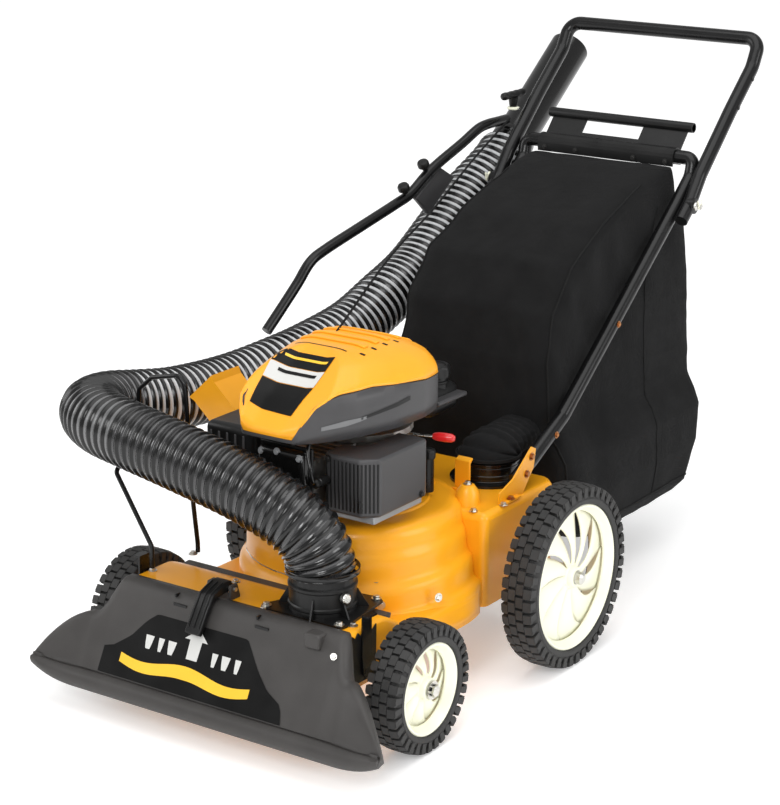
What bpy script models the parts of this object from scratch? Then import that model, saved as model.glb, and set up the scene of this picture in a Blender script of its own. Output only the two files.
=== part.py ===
# Leaf vacuum mulcher: a walk-behind machine with a vertical-shaft engine over an impeller housing, a wide
# ground nozzle in front, a hose inlet on the deck, and a cloth bag behind, hung between folding handles.
# Metres, +Z up.  The nozzle faces -Y, the operator stands at +Y.  The origin is under the middle of the machine.
# Coordinates below are given from the rear axle line (Y = 0 there); one empty shifts everything to the origin.
import bpy, bmesh, math
import numpy as np
from mathutils import Vector, Matrix

for ob in list(bpy.data.objects):
    bpy.data.objects.remove(ob, do_unlink=True)

# ------------------------------------------------------------------ driving dimensions
REAR_AXLE_Y = -0.1464        # rear axle line in the part's frame
GAP = 0.0003                 # clearance between touching pieces

REAR_R, REAR_RIM = 0.1524, 0.1210      # 12 inch rear tyre, rim radius
FRONT_R, FRONT_RIM = 0.1016, 0.0723    # 8 inch front tyre, rim radius
TYRE_W = 0.0550
REAR_X, FRONT_X = 0.2772, 0.2679       # wheel centre planes
FRONT_Y = -0.4106                      # front axle line

DECK_X, DECK_TOP, DECK_LOW = 0.2100, 0.2000, 0.1100
DECK_FRONT = -0.5150
SHEET = 0.0030
CRANK_Y = -0.1900                      # engine shaft and scroll centre
SCROLL_TOP = 0.2880
REAR_BOX_X, REAR_BOX_TOP, REAR_BOX_END = 0.2000, 0.2720, 0.1120

NOZZLE_X, NOZZLE_FRONT = 0.3330, -0.6100
HOSE_R = 0.0540
PORT_X, PORT_Y, PORT_R = 0.1150, -0.4400, 0.0500

TUBE_R = 0.0125                        # 25 mm handle tube
LOWER_X, UPPER_X = 0.1735, 0.1990
FOLD_Y, FOLD_Z = 0.5370, 0.6600

OUT_X, OUT_Y, OUT_R = 0.1000, 0.0450, 0.0520   # discharge collar on the deck
WAND_X, WAND_R = -0.2520, 0.0380


# ------------------------------------------------------------------ materials
def material(name, rgb, rough, metal=0.0):
    m = bpy.data.materials.new(name)
    m.use_nodes = True
    b = m.node_tree.nodes["Principled BSDF"]
    b.inputs["Base Color"].default_value = (*rgb, 1.0)
    b.inputs["Roughness"].default_value = rough
    b.inputs["Metallic"].default_value = metal
    m.diffuse_color = (*rgb, 1.0)
    return m


YELLOW = material("deck_yellow_paint", (0.90, 0.42, 0.02), 0.35)
GREY = material("charcoal_plastic", (0.07, 0.065, 0.062), 0.50)
BLACKP = material("black_plastic", (0.015, 0.015, 0.015), 0.40)
BLACKM = material("black_painted_tube", (0.012, 0.012, 0.012), 0.25)
RUBBER = material("tyre_rubber", (0.020, 0.020, 0.022), 0.80)
CREAM = material("cream_rim_plastic", (0.82, 0.82, 0.62), 0.40)
STEEL = material("zinc_steel", (0.55, 0.55, 0.53), 0.35, 1.0)
ALU = material("cast_aluminium", (0.45, 0.45, 0.44), 0.50, 1.0)
FABRIC = material("bag_cloth", (0.012, 0.012, 0.013), 0.95)
RED = material("red_grip", (0.65, 0.02, 0.02), 0.40)
HOSE = material("hose_black", (0.03, 0.03, 0.03), 0.30)

# ------------------------------------------------------------------ frame of empties
origin_empty = bpy.data.objects.new("machine_frame", None)
bpy.context.collection.objects.link(origin_empty)
origin_empty.location = (0.0, REAR_AXLE_Y, 0.0)
POS = {"machine_frame": Vector((0, 0, 0))}


def pivot(name, at, parent="machine_frame"):
    """An empty on a joint's axis; pieces parented to it turn or slide about it."""
    e = bpy.data.objects.new(name, None)
    bpy.context.collection.objects.link(e)
    e.parent = bpy.data.objects[parent]
    POS[name] = Vector(at)
    e.location = POS[name] - POS[parent]
    return name


# ------------------------------------------------------------------ mesh helpers
def finish_bm(name, bm, mat, parent="machine_frame", smooth=None):
    bmesh.ops.recalc_face_normals(bm, faces=bm.faces[:])
    me = bpy.data.meshes.new(name)
    bm.to_mesh(me)
    bm.free()
    me.transform(Matrix.Translation(-POS[parent]))
    if mat is not None:
        me.materials.append(mat)
    ob = bpy.data.objects.new(name, me)
    bpy.context.collection.objects.link(ob)
    ob.parent = bpy.data.objects[parent]
    if smooth is not None:
        me.shade_smooth()
        me.set_sharp_from_angle(angle=math.radians(smooth))
    return ob


def box_bm(x0, x1, y0, y1, z0, z1):
    bm = bmesh.new()
    bmesh.ops.create_cube(bm, size=1.0)
    for v in bm.verts:
        v.co = Vector(((x0 + x1) / 2 + v.co.x * (x1 - x0), (y0 + y1) / 2 + v.co.y * (y1 - y0),
                       (z0 + z1) / 2 + v.co.z * (z1 - z0)))
    return bm


def box(name, x0, x1, y0, y1, z0, z1, mat, parent="machine_frame", bevel=0.0, seg=1):
    ob = finish_bm(name, box_bm(x0, x1, y0, y1, z0, z1), mat, parent)
    if bevel:
        add_bevel(ob, bevel, seg)
    return ob


def add_bevel(ob, width, seg=1, angle=30):
    m = ob.modifiers.new("edge", "BEVEL")
    m.width, m.segments, m.limit_method, m.angle_limit = width, seg, "ANGLE", math.radians(angle)


def prism_bm(pts, axis, a0, a1):
    """A polygon given in the two other axes (cyclic order), extruded along an axis from a0 to a1."""
    bm = bmesh.new()

    def co(p, a):
        if axis == "x":
            return Vector((a, p[0], p[1]))
        if axis == "y":
            return Vector((p[0], a, p[1]))
        return Vector((p[0], p[1], a))
    lo = [bm.verts.new(co(p, a0)) for p in pts]
    hi = [bm.verts.new(co(p, a1)) for p in pts]
    bm.faces.new(lo)
    bm.faces.new(hi)
    n = len(pts)
    for i in range(n):
        bm.faces.new((lo[i], lo[(i + 1) % n], hi[(i + 1) % n], hi[i]))
    return bm


def prism(name, pts, axis, a0, a1, mat, parent="machine_frame", bevel=0.0, seg=1, smooth=None):
    ob = finish_bm(name, prism_bm(pts, axis, a0, a1), mat, parent, smooth)
    if bevel:
        add_bevel(ob, bevel, seg)
    return ob


def lathe_bm(profile, centre, axis="z", seg=32, phase=0.0):
    """A closed profile of (radius, height) turned about an axis through centre."""
    bm = bmesh.new()
    rings = []
    for r, h in profile:
        ring = []
        if r < 1e-7:
            p = {"x": Vector((h, 0, 0)), "y": Vector((0, h, 0)), "z": Vector((0, 0, h))}[axis]
            ring = [bm.verts.new(Vector(centre) + p)]
        else:
            for i in range(seg):
                a = phase + 2 * math.pi * i / seg
                c, s = r * math.cos(a), r * math.sin(a)
                p = {"x": Vector((h, c, s)), "y": Vector((c, h, s)), "z": Vector((c, s, h))}[axis]
                ring.append(bm.verts.new(Vector(centre) + p))
        rings.append(ring)
    n = len(rings)
    closed = len(rings[0]) > 1 or len(rings[-1]) > 1
    pairs = [(k, (k + 1) % n) for k in range(n)] if (len(rings[0]) > 1 and len(rings[-1]) > 1) else \
        [(k, k + 1) for k in range(n - 1)]
    for a, b in pairs:
        ra, rb = rings[a], rings[b]
        if len(ra) == 1 and len(rb) == 1:
            continue
        for i in range(seg):
            j = (i + 1) % seg
            if len(ra) == 1:
                bm.faces.new((ra[0], rb[i], rb[j]))
            elif len(rb) == 1:
                bm.faces.new((ra[i], ra[j], rb[0]))
            else:
                bm.faces.new((ra[i], ra[j], rb[j], rb[i]))
    return bm


def lathe(name, profile, centre, mat, axis="z", seg=32, parent="machine_frame", smooth=35, phase=0.0):
    return finish_bm(name, lathe_bm(profile, centre, axis, seg, phase), mat, parent, smooth)


def cyl(name, centre, axis, r, h0, h1, mat, parent="machine_frame", seg=16, phase=0.0):
    return lathe(name, [(0, h0), (r, h0), (r, h1), (0, h1)], centre, mat, axis, seg, parent, 35, phase)


def loft_bm(rings, caps=True):
    """Rings of equal length bridged in order and capped at both ends."""
    bm = bmesh.new()
    vr = [[bm.verts.new(Vector(p)) for p in ring] for ring in rings]
    n = len(vr[0])
    for a, b in zip(vr[:-1], vr[1:]):
        for i in range(n):
            j = (i + 1) % n
            bm.faces.new((a[i], a[j], b[j], b[i]))
    if caps:
        bm.faces.new(vr[0])
        bm.faces.new(vr[-1])
    return bm


def cutter(bm, parent="machine_frame"):
    ob = finish_bm("cut", bm, None, parent)
    ob.hide_render = True
    ob.display_type = "WIRE"
    return ob


def boolean(ob, other, op):
    m = ob.modifiers.new(op.lower(), "BOOLEAN")
    m.operation, m.solver, m.object = op, "EXACT", other
    return ob


def helper(bm, parent="machine_frame"):
    return cutter(bm, parent)


def smooth_path(pts, step):
    """Catmull-Rom curve through the route's points, read at even spacing."""
    P = [np.array(p, float) for p in pts]
    P = [2 * P[0] - P[1]] + P + [2 * P[-1] - P[-2]]
    dense = []
    for k in range(1, len(P) - 2):
        p0, p1, p2, p3 = P[k - 1:k + 3]
        for t in np.linspace(0, 1, 24, endpoint=False):
            dense.append(0.5 * ((2 * p1) + (-p0 + p2) * t + (2 * p0 - 5 * p1 + 4 * p2 - p3) * t * t
                                + (-p0 + 3 * p1 - 3 * p2 + p3) * t ** 3))
    dense.append(P[-2])
    dense = np.array(dense)
    s = np.concatenate([[0], np.cumsum(np.linalg.norm(np.diff(dense, axis=0), axis=1))])
    n = max(2, int(round(s[-1] / step)))
    u = np.linspace(0, s[-1], n + 1)
    return np.stack([np.interp(u, s, dense[:, i]) for i in range(3)], 1)


def rounded_path(pts, radius, seg=5):
    """Straight runs whose corners are turned with a bend radius."""
    P = [np.array(p, float) for p in pts]
    out = [P[0]]
    for a, b, c in zip(P[:-2], P[1:-1], P[2:]):
        u, v = (a - b) / np.linalg.norm(a - b), (c - b) / np.linalg.norm(c - b)
        ang = math.acos(max(-1, min(1, float(u @ v))))
        if math.pi - ang < math.radians(12):
            out.append(b)
            continue
        d = min(radius / math.tan(ang / 2), 0.45 * np.linalg.norm(a - b), 0.45 * np.linalg.norm(c - b))
        r = d * math.tan(ang / 2)
        centre = b + (u + v) / np.linalg.norm(u + v) * (r / math.sin(ang / 2))
        s, e = b + u * d - centre, b + v * d - centre
        tot = math.acos(max(-1, min(1, float(s @ e) / (r * r))))
        for k in range(seg + 1):
            t = k / seg
            out.append(centre + (math.sin((1 - t) * tot) * s + math.sin(t * tot) * e) / math.sin(tot))
    out.append(P[-1])
    return out


def tube(name, pts, radius, mat, parent="machine_frame", res=3):
    """A round bar or pipe as a curve with a bevel and filled caps."""
    cu = bpy.data.curves.new(name, "CURVE")
    cu.dimensions = "3D"
    cu.bevel_depth = radius
    cu.bevel_resolution = res
    cu.use_fill_caps = True
    cu.render_resolution_u = 0
    sp = cu.splines.new("POLY")
    sp.points.add(len(pts) - 1)
    for q, p in zip(sp.points, pts):
        v = Vector(p) - POS[parent]
        q.co = (v.x, v.y, v.z, 1.0)
    sp.use_smooth = True
    cu.materials.append(mat)
    ob = bpy.data.objects.new(name, cu)
    bpy.context.collection.objects.link(ob)
    ob.parent = bpy.data.objects[parent]
    return ob


# ------------------------------------------------------------------ deck housing
# Front plate with side flanges, the round scroll over the impeller, and the rear box with the discharge.
scroll_out = [(0.2050, 0.1180), (0.2070, 0.1500), (0.2010, 0.1560), (0.1960, 0.1980), (0.1885, 0.2050),
              (0.1825, 0.2430), (0.1750, 0.2500), (0.1690, 0.2780), (0.1550, SCROLL_TOP), (0.0, SCROLL_TOP)]
scroll_in = [(0.2020, 0.0900), (0.2040, 0.1500), (0.1980, 0.1550), (0.1930, 0.1970), (0.1855, 0.2035),
             (0.1795, 0.2415), (0.1720, 0.2480), (0.1660, 0.2750), (0.1540, SCROLL_TOP - SHEET),
             (0.0, SCROLL_TOP - SHEET)]
deck = box("deck_housing", -DECK_X, DECK_X, DECK_FRONT, -0.0800, DECK_LOW, DECK_TOP, YELLOW)
boolean(deck, helper(lathe_bm([(0, 0.1180)] + scroll_out, (0, CRANK_Y, 0), "z", 40)), "UNION")
boolean(deck, helper(box_bm(-REAR_BOX_X, REAR_BOX_X, -0.1200, REAR_BOX_END, 0.1150, REAR_BOX_TOP)), "UNION")
boolean(deck, cutter(box_bm(-DECK_X + SHEET, DECK_X - SHEET, -0.7000, -0.0830, 0.0500, DECK_TOP - SHEET)),
        "DIFFERENCE")
boolean(deck, cutter(lathe_bm([(0, 0.0900)] + scroll_in, (0, CRANK_Y, 0), "z", 40)), "DIFFERENCE")
boolean(deck, cutter(box_bm(-REAR_BOX_X + SHEET, REAR_BOX_X - SHEET, -0.1450, REAR_BOX_END - SHEET,
                            0.0500, REAR_BOX_TOP - SHEET)), "DIFFERENCE")
for bm in (lathe_bm([(0, 0.26), (0.026, 0.26), (0.026, 0.31), (0, 0.31)], (0, CRANK_Y, 0), "z", 16),
           lathe_bm([(0, 0.24), (0.0475, 0.24), (0.0475, 0.30), (0, 0.30)], (OUT_X, OUT_Y, 0), "z", 24),
           lathe_bm([(0, 0.18), (0.0460, 0.18), (0.0460, 0.22), (0, 0.22)], (PORT_X, PORT_Y, 0), "z", 24),
           box_bm(-0.1500, -0.1120, -0.2680, -0.2320, 0.2500, 0.3200),
           lathe_bm([(0, -0.3), (0.0070, -0.3), (0.0070, 0.3), (0, 0.3)], (0, 0, 0.1524), "x", 12)):
    boolean(deck, cutter(bm), "DIFFERENCE")

# Plate under the impeller with its eye, and the floor of the air duct from the nozzle.
eye = prism("impeller_inlet_plate",
            [(0.180 * math.cos(a), CRANK_Y + 0.180 * math.sin(a)) for a in
             [math.radians(-90 + 180 * k / 16 - 90) for k in range(17)]] +
            [(0.168, -0.130), (0.168, 0.100), (-0.168, 0.100), (-0.168, -0.130)], "z", 0.2040, 0.2060, STEEL)
boolean(eye, cutter(lathe_bm([(0, 0.19), (0.075, 0.19), (0.075, 0.22), (0, 0.22)], (0, CRANK_Y, 0), "z", 24)),
        "DIFFERENCE")
box("duct_floor", -0.2060, 0.2060, -0.5130, -0.2000, 0.1120, 0.1145, YELLOW)


# ------------------------------------------------------------------ front nozzle hood
def hood_section(x, inset):
    """Outer or inner outline of the hood in the Y-Z plane at a distance x from the middle."""
    ax = abs(x)
    t = min(1.0, max(0.0, (ax - 0.2120) / 0.0330))          # main body blends to the flared wing
    t = t * t * (3 - 2 * t)
    w = min(1.0, max(0.0, (ax - 0.2450) / (NOZZLE_X - 0.2450)))
    main = [(-0.5005, 0.2050), (-0.5180, 0.2030), (-0.5330, 0.1850), (-0.5560, 0.1450), (-0.5800, 0.0980),
            (-0.5985, 0.0620), (-0.6085, 0.0560), (NOZZLE_FRONT, 0.0400)]
    h = 0.1500 - 0.0700 * w ** 2.2                           # crest of the wing falls towards its tip
    rear = -0.5280 - 0.0620 * w ** 1.5                       # and its rear edge runs forward
    cy = rear - 0.0220 + 0.0150 * w
    fy = cy - 0.0140 + 0.0110 * w
    fz = h - 0.0080 + 0.0060 * w
    ly = -0.5980 - 0.0070 * w
    wing = [(rear, h - 0.0140), (rear - 0.0080 + 0.0050 * w, h - 0.0030), (cy, h), (fy, fz),
            ((fy + ly) / 2 - 0.0020, (fz + 0.0620) / 2), (ly, 0.0620), (-0.6085, 0.0560), (NOZZLE_FRONT, 0.0400)]
    pts = [((1 - t) * a[0] + t * b[0], (1 - t) * a[1] + t * b[1]) for a, b in zip(main, wing)]
    back = (1 - t) * -0.5005 + t * rear
    pts = [(back, 0.0400)] + pts
    if not inset:
        return pts
    out = []
    n = len(pts)
    for i, (y, z) in enumerate(pts):
        if i == 0:
            out.append((y - inset, z - 0.0200))
        elif i == n - 1:
            out.append((y + inset, z - 0.0200))
        else:
            a, b = pts[i - 1], pts[i + 1]
            ty, tz = b[0] - a[0], b[1] - a[1]
            ln = math.hypot(ty, tz)
            out.append((y - tz / ln * inset, z + ty / ln * inset))
    return out


hood_x = [-NOZZLE_X, -0.3270, -0.3100, -0.2850, -0.2600, -0.2450, -0.2340, -0.2230, -0.2120, 0.0,
          0.2120, 0.2230, 0.2340, 0.2450, 0.2600, 0.2850, 0.3100, 0.3270, NOZZLE_X]
hood = finish_bm("front_nozzle_hood", loft_bm([[(x, y, z) for y, z in hood_section(x, 0)] for x in hood_x]),
                 GREY, smooth=30)
inner_x = [x * (NOZZLE_X - 0.0030) / NOZZLE_X if abs(x) > 0.3 else x for x in hood_x]
boolean(hood, cutter(loft_bm([[(x, y, z) for y, z in hood_section(x, 0.0030)] for x in inner_x])), "DIFFERENCE")
boolean(hood, cutter(box_bm(-DECK_X - 0.0004, DECK_X + 0.0004, DECK_FRONT - GAP, -0.3, 0.0, DECK_TOP + GAP)),
        "DIFFERENCE")

# Mode lever (nozzle or hose) in its bracket, and the diverter door it turns inside the duct.
LEVER_X, LEVER_Y, LEVER_Z = -0.0400, -0.4880, 0.2170
brk = prism("mode_lever_bracket", [(-0.4960, 0.2003), (-0.4740, 0.2003), (-0.4740, 0.2040), (-0.4800, 0.2235),
                                   (-0.4950, 0.2235), (-0.4960, 0.2200)], "x", LEVER_X - 0.0230, LEVER_X + 0.0230, GREY)
boolean(brk, cutter(box_bm(LEVER_X - 0.0185, LEVER_X + 0.0185, -0.52, -0.45, 0.2020, 0.24)), "DIFFERENCE")
boolean(brk, cutter(lathe_bm([(0, -0.05), (0.0038, -0.05), (0.0038, 0.05), (0, 0.05)],
                             (LEVER_X, LEVER_Y, LEVER_Z), "x", 12)), "DIFFERENCE")
pivot("mode_lever_pivot", (LEVER_X, LEVER_Y, LEVER_Z))
lever = prism("mode_lever", [(-0.4790, 0.2210), (-0.4830, 0.2280), (-0.4960, 0.2280), (-0.5290, 0.2170),
                             (-0.5640, 0.1640), (-0.5570, 0.1590), (-0.5240, 0.2080), (-0.4960, 0.2110),
                             (-0.4840, 0.2110)],
              "x", LEVER_X - 0.0150, LEVER_X + 0.0150, GREY, "mode_lever_pivot", 0.0010)
boolean(lever, helper(lathe_bm([(0, -0.0270), (0.0033, -0.0270), (0.0033, 0.0270), (0, 0.0270)],
                               (LEVER_X, LEVER_Y, LEVER_Z), "x", 12), "mode_lever_pivot"), "UNION")
DOOR_Y, DOOR_Z = -0.3800, 0.1880
pivot("diverter_pivot", (0, DOOR_Y, DOOR_Z))
prism("diverter_door", [(-0.3755, 0.1905), (-0.3770, 0.1845), (-0.3800, 0.1835), (-0.4870, 0.1865),
                        (-0.4870, 0.1890), (-0.3800, 0.1925)], "x", -0.1950, 0.1950, GREY, "diverter_pivot")

# Hose port on the deck plate, its band, and the hose with its rests.
port = prism("hose_port", [(0.0400, -0.4960), (0.1880, -0.4960), (0.1900, -0.4800), (0.1760, -0.3700),
                           (0.1650, -0.3620), (0.0900, -0.3680), (0.0800, -0.3760), (0.0340, -0.4860)],
             "z", DECK_TOP + GAP, DECK_TOP + 0.0045, BLACKP)
boolean(port, helper(lathe_bm([(0, DECK_TOP + 0.002), (PORT_R + 0.002, DECK_TOP + 0.002), (PORT_R, 0.2160),
                               (PORT_R, 0.2600), (0, 0.2600)], (PORT_X, PORT_Y, 0), "z", 28)), "UNION")
boolean(port, cutter(lathe_bm([(0, 0.19), (0.0465, 0.19), (0.0465, 0.27), (0, 0.27)], (PORT_X, PORT_Y, 0), "z", 28)),
        "DIFFERENCE")
lathe("hose_band", [(HOSE_R + 0.0012, 0.2610), (HOSE_R + 0.0034, 0.2610), (HOSE_R + 0.0034, 0.2700),
                    (HOSE_R + 0.0012, 0.2700)], (PORT_X, PORT_Y, 0), STEEL, "z", 28)

# The hose climbs off the port, crosses in front of the engine, doubles back past the chute and runs up the far side
# to the wand.
hose_route = [(PORT_X, PORT_Y, 0.2860), (0.1105, -0.4430, 0.3040), (0.0910, -0.4530, 0.3280), (0.0530, -0.4620, 0.3540),
              (-0.0250, -0.4650, 0.3770), (-0.1370, -0.4640, 0.3980), (-0.2350, -0.4590, 0.4120),
              (-0.3100, -0.4450, 0.4180), (-0.3650, -0.4080, 0.4190), (-0.3820, -0.3520, 0.4140),
              (-0.3720, -0.2900, 0.4040), (-0.3520, -0.2180, 0.3960), (-0.3350, -0.1000, 0.3930),
              (-0.3120, 0.0080, 0.4050), (-0.3000, 0.0870, 0.4160), (-0.2850, 0.1870, 0.4380),
              (-0.2760, 0.2730, 0.4730), (-0.2730, 0.3670, 0.5090), (-0.2720, 0.4720, 0.5710),
              (-0.2680, 0.5500, 0.6200), (-0.2580, 0.6000, 0.6520)]
WAND_START, WAND_END = (WAND_X, 0.6550, 0.6915), (WAND_X, 0.8800, 0.8600)
hose_pts = [(PORT_X, PORT_Y, 0.2605)] + [tuple(p) for p in smooth_path(hose_route, 0.0460)] + \
    [(WAND_X, 0.6310, 0.6735), (WAND_X, 0.6542, 0.6909)]
tube("vac_hose", hose_pts, HOSE_R, HOSE, res=4)

# Wire hoop that stands on the deck behind the hose and carries its bend.
tube("hose_rest_wire", rounded_path([(-0.1980, -0.4660, 0.2003), (-0.1980, -0.4660, 0.2400), (-0.2930, -0.4380, 0.3380),
                                     (-0.2960, -0.3820, 0.3780), (-0.2880, -0.3820, 0.4620), (-0.2600, -0.3820, 0.4860),
                                     (-0.2060, -0.3820, 0.4980), (-0.1930, -0.3820, 0.4850), (-0.1850, -0.3800, 0.3000),
                                     (-0.1930, -0.3600, 0.2150), (-0.1930, -0.3600, 0.2003)], 0.012, 3),
     0.0038, BLACKM, res=2)

# Wand (rigid end tube of the hose), parked along the far handle leg, with its rail, saddle plate and knobs.
w0, w1 = Vector(WAND_START), Vector(WAND_END)
wdir = (w1 - w0).normalized()
wrot = wdir.to_track_quat("Z", "Y").to_matrix().to_4x4()
wl = (w1 - w0).length
wand_bm = lathe_bm([(0.0340, 0.0), (WAND_R + 0.004, 0.0), (WAND_R + 0.004, 0.030), (WAND_R, 0.034), (WAND_R, wl),
                    (0.0340, wl)], (0, 0, 0), "z", 28)
bmesh.ops.transform(wand_bm, matrix=Matrix.Translation(w0) @ wrot, verts=wand_bm.verts[:])
finish_bm("hose_wand", wand_bm, BLACKP, smooth=35)
# Carrying rail of the hose: fixed to the wand, it runs above the hose and ends on top of it; two knobs hold the saddle.
rail = smooth_path([(-0.3200, -0.0100, 0.4700), (-0.3140, 0.0285, 0.5063), (-0.3080, 0.0636, 0.5411),
                    (-0.3020, 0.0925, 0.5738), (-0.2970, 0.1290, 0.5900), (-0.2880, 0.2242, 0.6154),
                    (-0.2800, 0.3243, 0.6408), (-0.2770, 0.3669, 0.6536), (-0.2720, 0.4275, 0.6887),
                    (-0.2640, 0.5137, 0.7234), (-0.2580, 0.5600, 0.7447), (-0.2540, 0.5883, 0.7505),
                    (WAND_X, 0.6167, 0.7512)], 0.0260)
tube("hose_rail", [tuple(p) for p in rail] + [(WAND_X, 0.6490, 0.7512)], 0.0095, BLACKM, res=2)
saddle = prism("rail_saddle", [(0.3730, 0.6430), (0.4330, 0.6770), (0.4560, 0.6870), (0.5020, 0.6620), (0.4170, 0.6060)],
               "x", -0.2800, -0.2700, BLACKM, bevel=0.001)
for i, (y, z) in enumerate(((0.3500, 0.6490), (0.4130, 0.6820))):
    knob = lathe_bm([(0, 0.0105), (0.0050, 0.0105), (0.0050, 0.0150), (0.0110, 0.0170), (0.0110, 0.0260),
                     (0.0080, 0.0290), (0, 0.0290)], (0, 0, 0), "z", 12)
    bmesh.ops.transform(knob, matrix=Matrix.Translation((-0.2745, y, z)) @ Matrix.Rotation(math.radians(29), 4, "X"),
                        verts=knob.verts[:])
    finish_bm("rail_knob_%d" % (i + 1), knob, BLACKP, smooth=35)

# Chipper chute for branches, on the far side of the scroll.
chute_pts = [(-0.1600, SCROLL_TOP + GAP), (-0.1600, 0.3370), (-0.2560, 0.4240), (-0.2660, 0.4290), (-0.2190, 0.4730),
             (-0.2140, 0.4620), (-0.1020, 0.3600), (-0.1020, SCROLL_TOP + GAP)]
chute_in = [(-0.1570, 0.27), (-0.1570, 0.3383), (-0.2540, 0.4262), (-0.2900, 0.4400), (-0.2300, 0.4960),
            (-0.2160, 0.4600), (-0.1050, 0.3587), (-0.1050, 0.27)]
chute = prism("chipper_chute", chute_pts, "y", -0.2850, -0.2150, YELLOW)
boolean(chute, cutter(prism_bm(chute_in, "y", -0.2820, -0.2180)), "DIFFERENCE")

# ------------------------------------------------------------------ impeller and crankshaft
pivot("crank_axis", (0, CRANK_Y, 0.30))
imp = lathe("impeller", [(0.0140, 0.2150), (0.0260, 0.2150), (0.0260, 0.2590), (0.1480, 0.2610), (0.1480, 0.2635),
                         (0.0140, 0.2635)], (0, CRANK_Y, 0), STEEL, "z", 24, "crank_axis")
for k in range(4):
    a = math.radians(45 + 90 * k)
    bm = box_bm(0.0240, 0.1400, -0.0020, 0.0020, 0.2160, 0.2615)
    bmesh.ops.transform(bm, matrix=Matrix.Translation((0, CRANK_Y, 0)) @ Matrix.Rotation(a, 4, "Z"), verts=bm.verts[:])
    boolean(imp, helper(bm, "crank_axis"), "UNION")
lathe("crankshaft", [(0, 0.2120), (0.0135, 0.2120), (0.0135, 0.2640), (0.0120, 0.2650), (0.0120, 0.4300), (0, 0.4300)],
      (0, CRANK_Y, 0), STEEL, "z", 16, "crank_axis")
lathe("flywheel_fan", [(0.0125, 0.4040), (0.0900, 0.4040), (0.0900, 0.4140), (0.0700, 0.4140), (0.0600, 0.4240),
                       (0.0125, 0.4240)], (0, CRANK_Y, 0), ALU, "z", 24, "crank_axis")

# ------------------------------------------------------------------ engine
case = lathe("engine_crankcase", [(0.0130, SCROLL_TOP + GAP), (0.1050, SCROLL_TOP + GAP), (0.1050, 0.2960),
                                  (0.0840, 0.3000), (0.0840, 0.3820), (0.0780, 0.3880), (0.0130, 0.3880)],
             (0, CRANK_Y, 0), ALU, "z", 32)
fins = [(-0.2600, 0.3120)]
for k in range(5):
    y = -0.2900 - 0.0160 * k
    fins += [(y, 0.3120), (y, 0.3180), (y - 0.0100, 0.3180), (y - 0.0100, 0.3120)]
fins += [(-0.3800, 0.3120), (-0.3800, 0.4020)]
for k in reversed(range(5)):
    y = -0.2900 - 0.0160 * k
    fins += [(y - 0.0100, 0.4020), (y - 0.0100, 0.3960), (y, 0.3960), (y, 0.4020)]
fins += [(-0.2600, 0.4020)]
cylr = prism("engine_cylinder", fins, "x", -0.0450, 0.0480, ALU)
boolean(cylr, cutter(lathe_bm([(0, 0.2), (0.0846, 0.2), (0.0846, 0.42), (0, 0.42)], (0, CRANK_Y, 0), "z", 32)),
        "DIFFERENCE")
box("valve_cover", -0.0400, 0.0520, -0.4010, -0.3803, 0.3260, 0.4220, BLACKP, bevel=0.010, seg=2)
lathe("spark_plug_boot", [(0, -0.3960), (0.0060, -0.3960), (0.0080, -0.3900), (0.0080, -0.3640), (0, -0.3640)],
      (0.0660, 0, 0.3750), BLACKP, "y", 10)
guard = prism("muffler_guard", [(0.0560, -0.3500), (0.0700, -0.3600), (0.1380, -0.3600), (0.1500, -0.3480),
                                (0.1500, -0.2150), (0.1440, -0.2080), (0.0920, -0.2080), (0.0920, -0.2900),
                                (0.0560, -0.3100)], "z", 0.3220, 0.4150, GREY, bevel=0.004)
boolean(guard, cutter(box_bm(0.0300, 0.1470, -0.3450, -0.2110, 0.3250, 0.4120)), "DIFFERENCE")
box("muffler", 0.0960, 0.1440, -0.3380, -0.2140, 0.3300, 0.4070, STEEL, bevel=0.006)
box("air_filter_cover", -0.1500, -0.0560, -0.3900, -0.3000, 0.3350, 0.4380, BLACKP, bevel=0.008, seg=2)


def shroud_ring(s, z, dy=0.0):
    """Plan outline of the engine shroud: a narrow nose in front and a round rear over the flywheel."""
    base = [(0.0560, -0.4250), (0.0850, -0.3900), (0.1150, -0.3300), (0.1360, -0.2500), (0.1400, -0.1700),
            (0.1280, -0.1150), (0.1000, -0.0820), (0.0500, -0.0760), (0.0, -0.0760), (-0.0500, -0.0760),
            (-0.1000, -0.0820), (-0.1280, -0.1150), (-0.1400, -0.1700), (-0.1300, -0.2500), (-0.1060, -0.3300),
            (-0.0800, -0.3900), (-0.0560, -0.4250), (0.0, -0.4280)]
    cy = -0.2400
    return [(x * s, cy + (y - cy) * s + dy, z) for x, y in base]


def inset_ring(ring, d):
    n = len(ring)
    out = []
    for i in range(n):
        a, b = Vector(ring[i - 1]).xy, Vector(ring[(i + 1) % n]).xy
        t = (b - a).normalized()
        p = Vector(ring[i])
        out.append((p.x - t.y * d, p.y + t.x * d, p.z))
    return out


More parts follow.
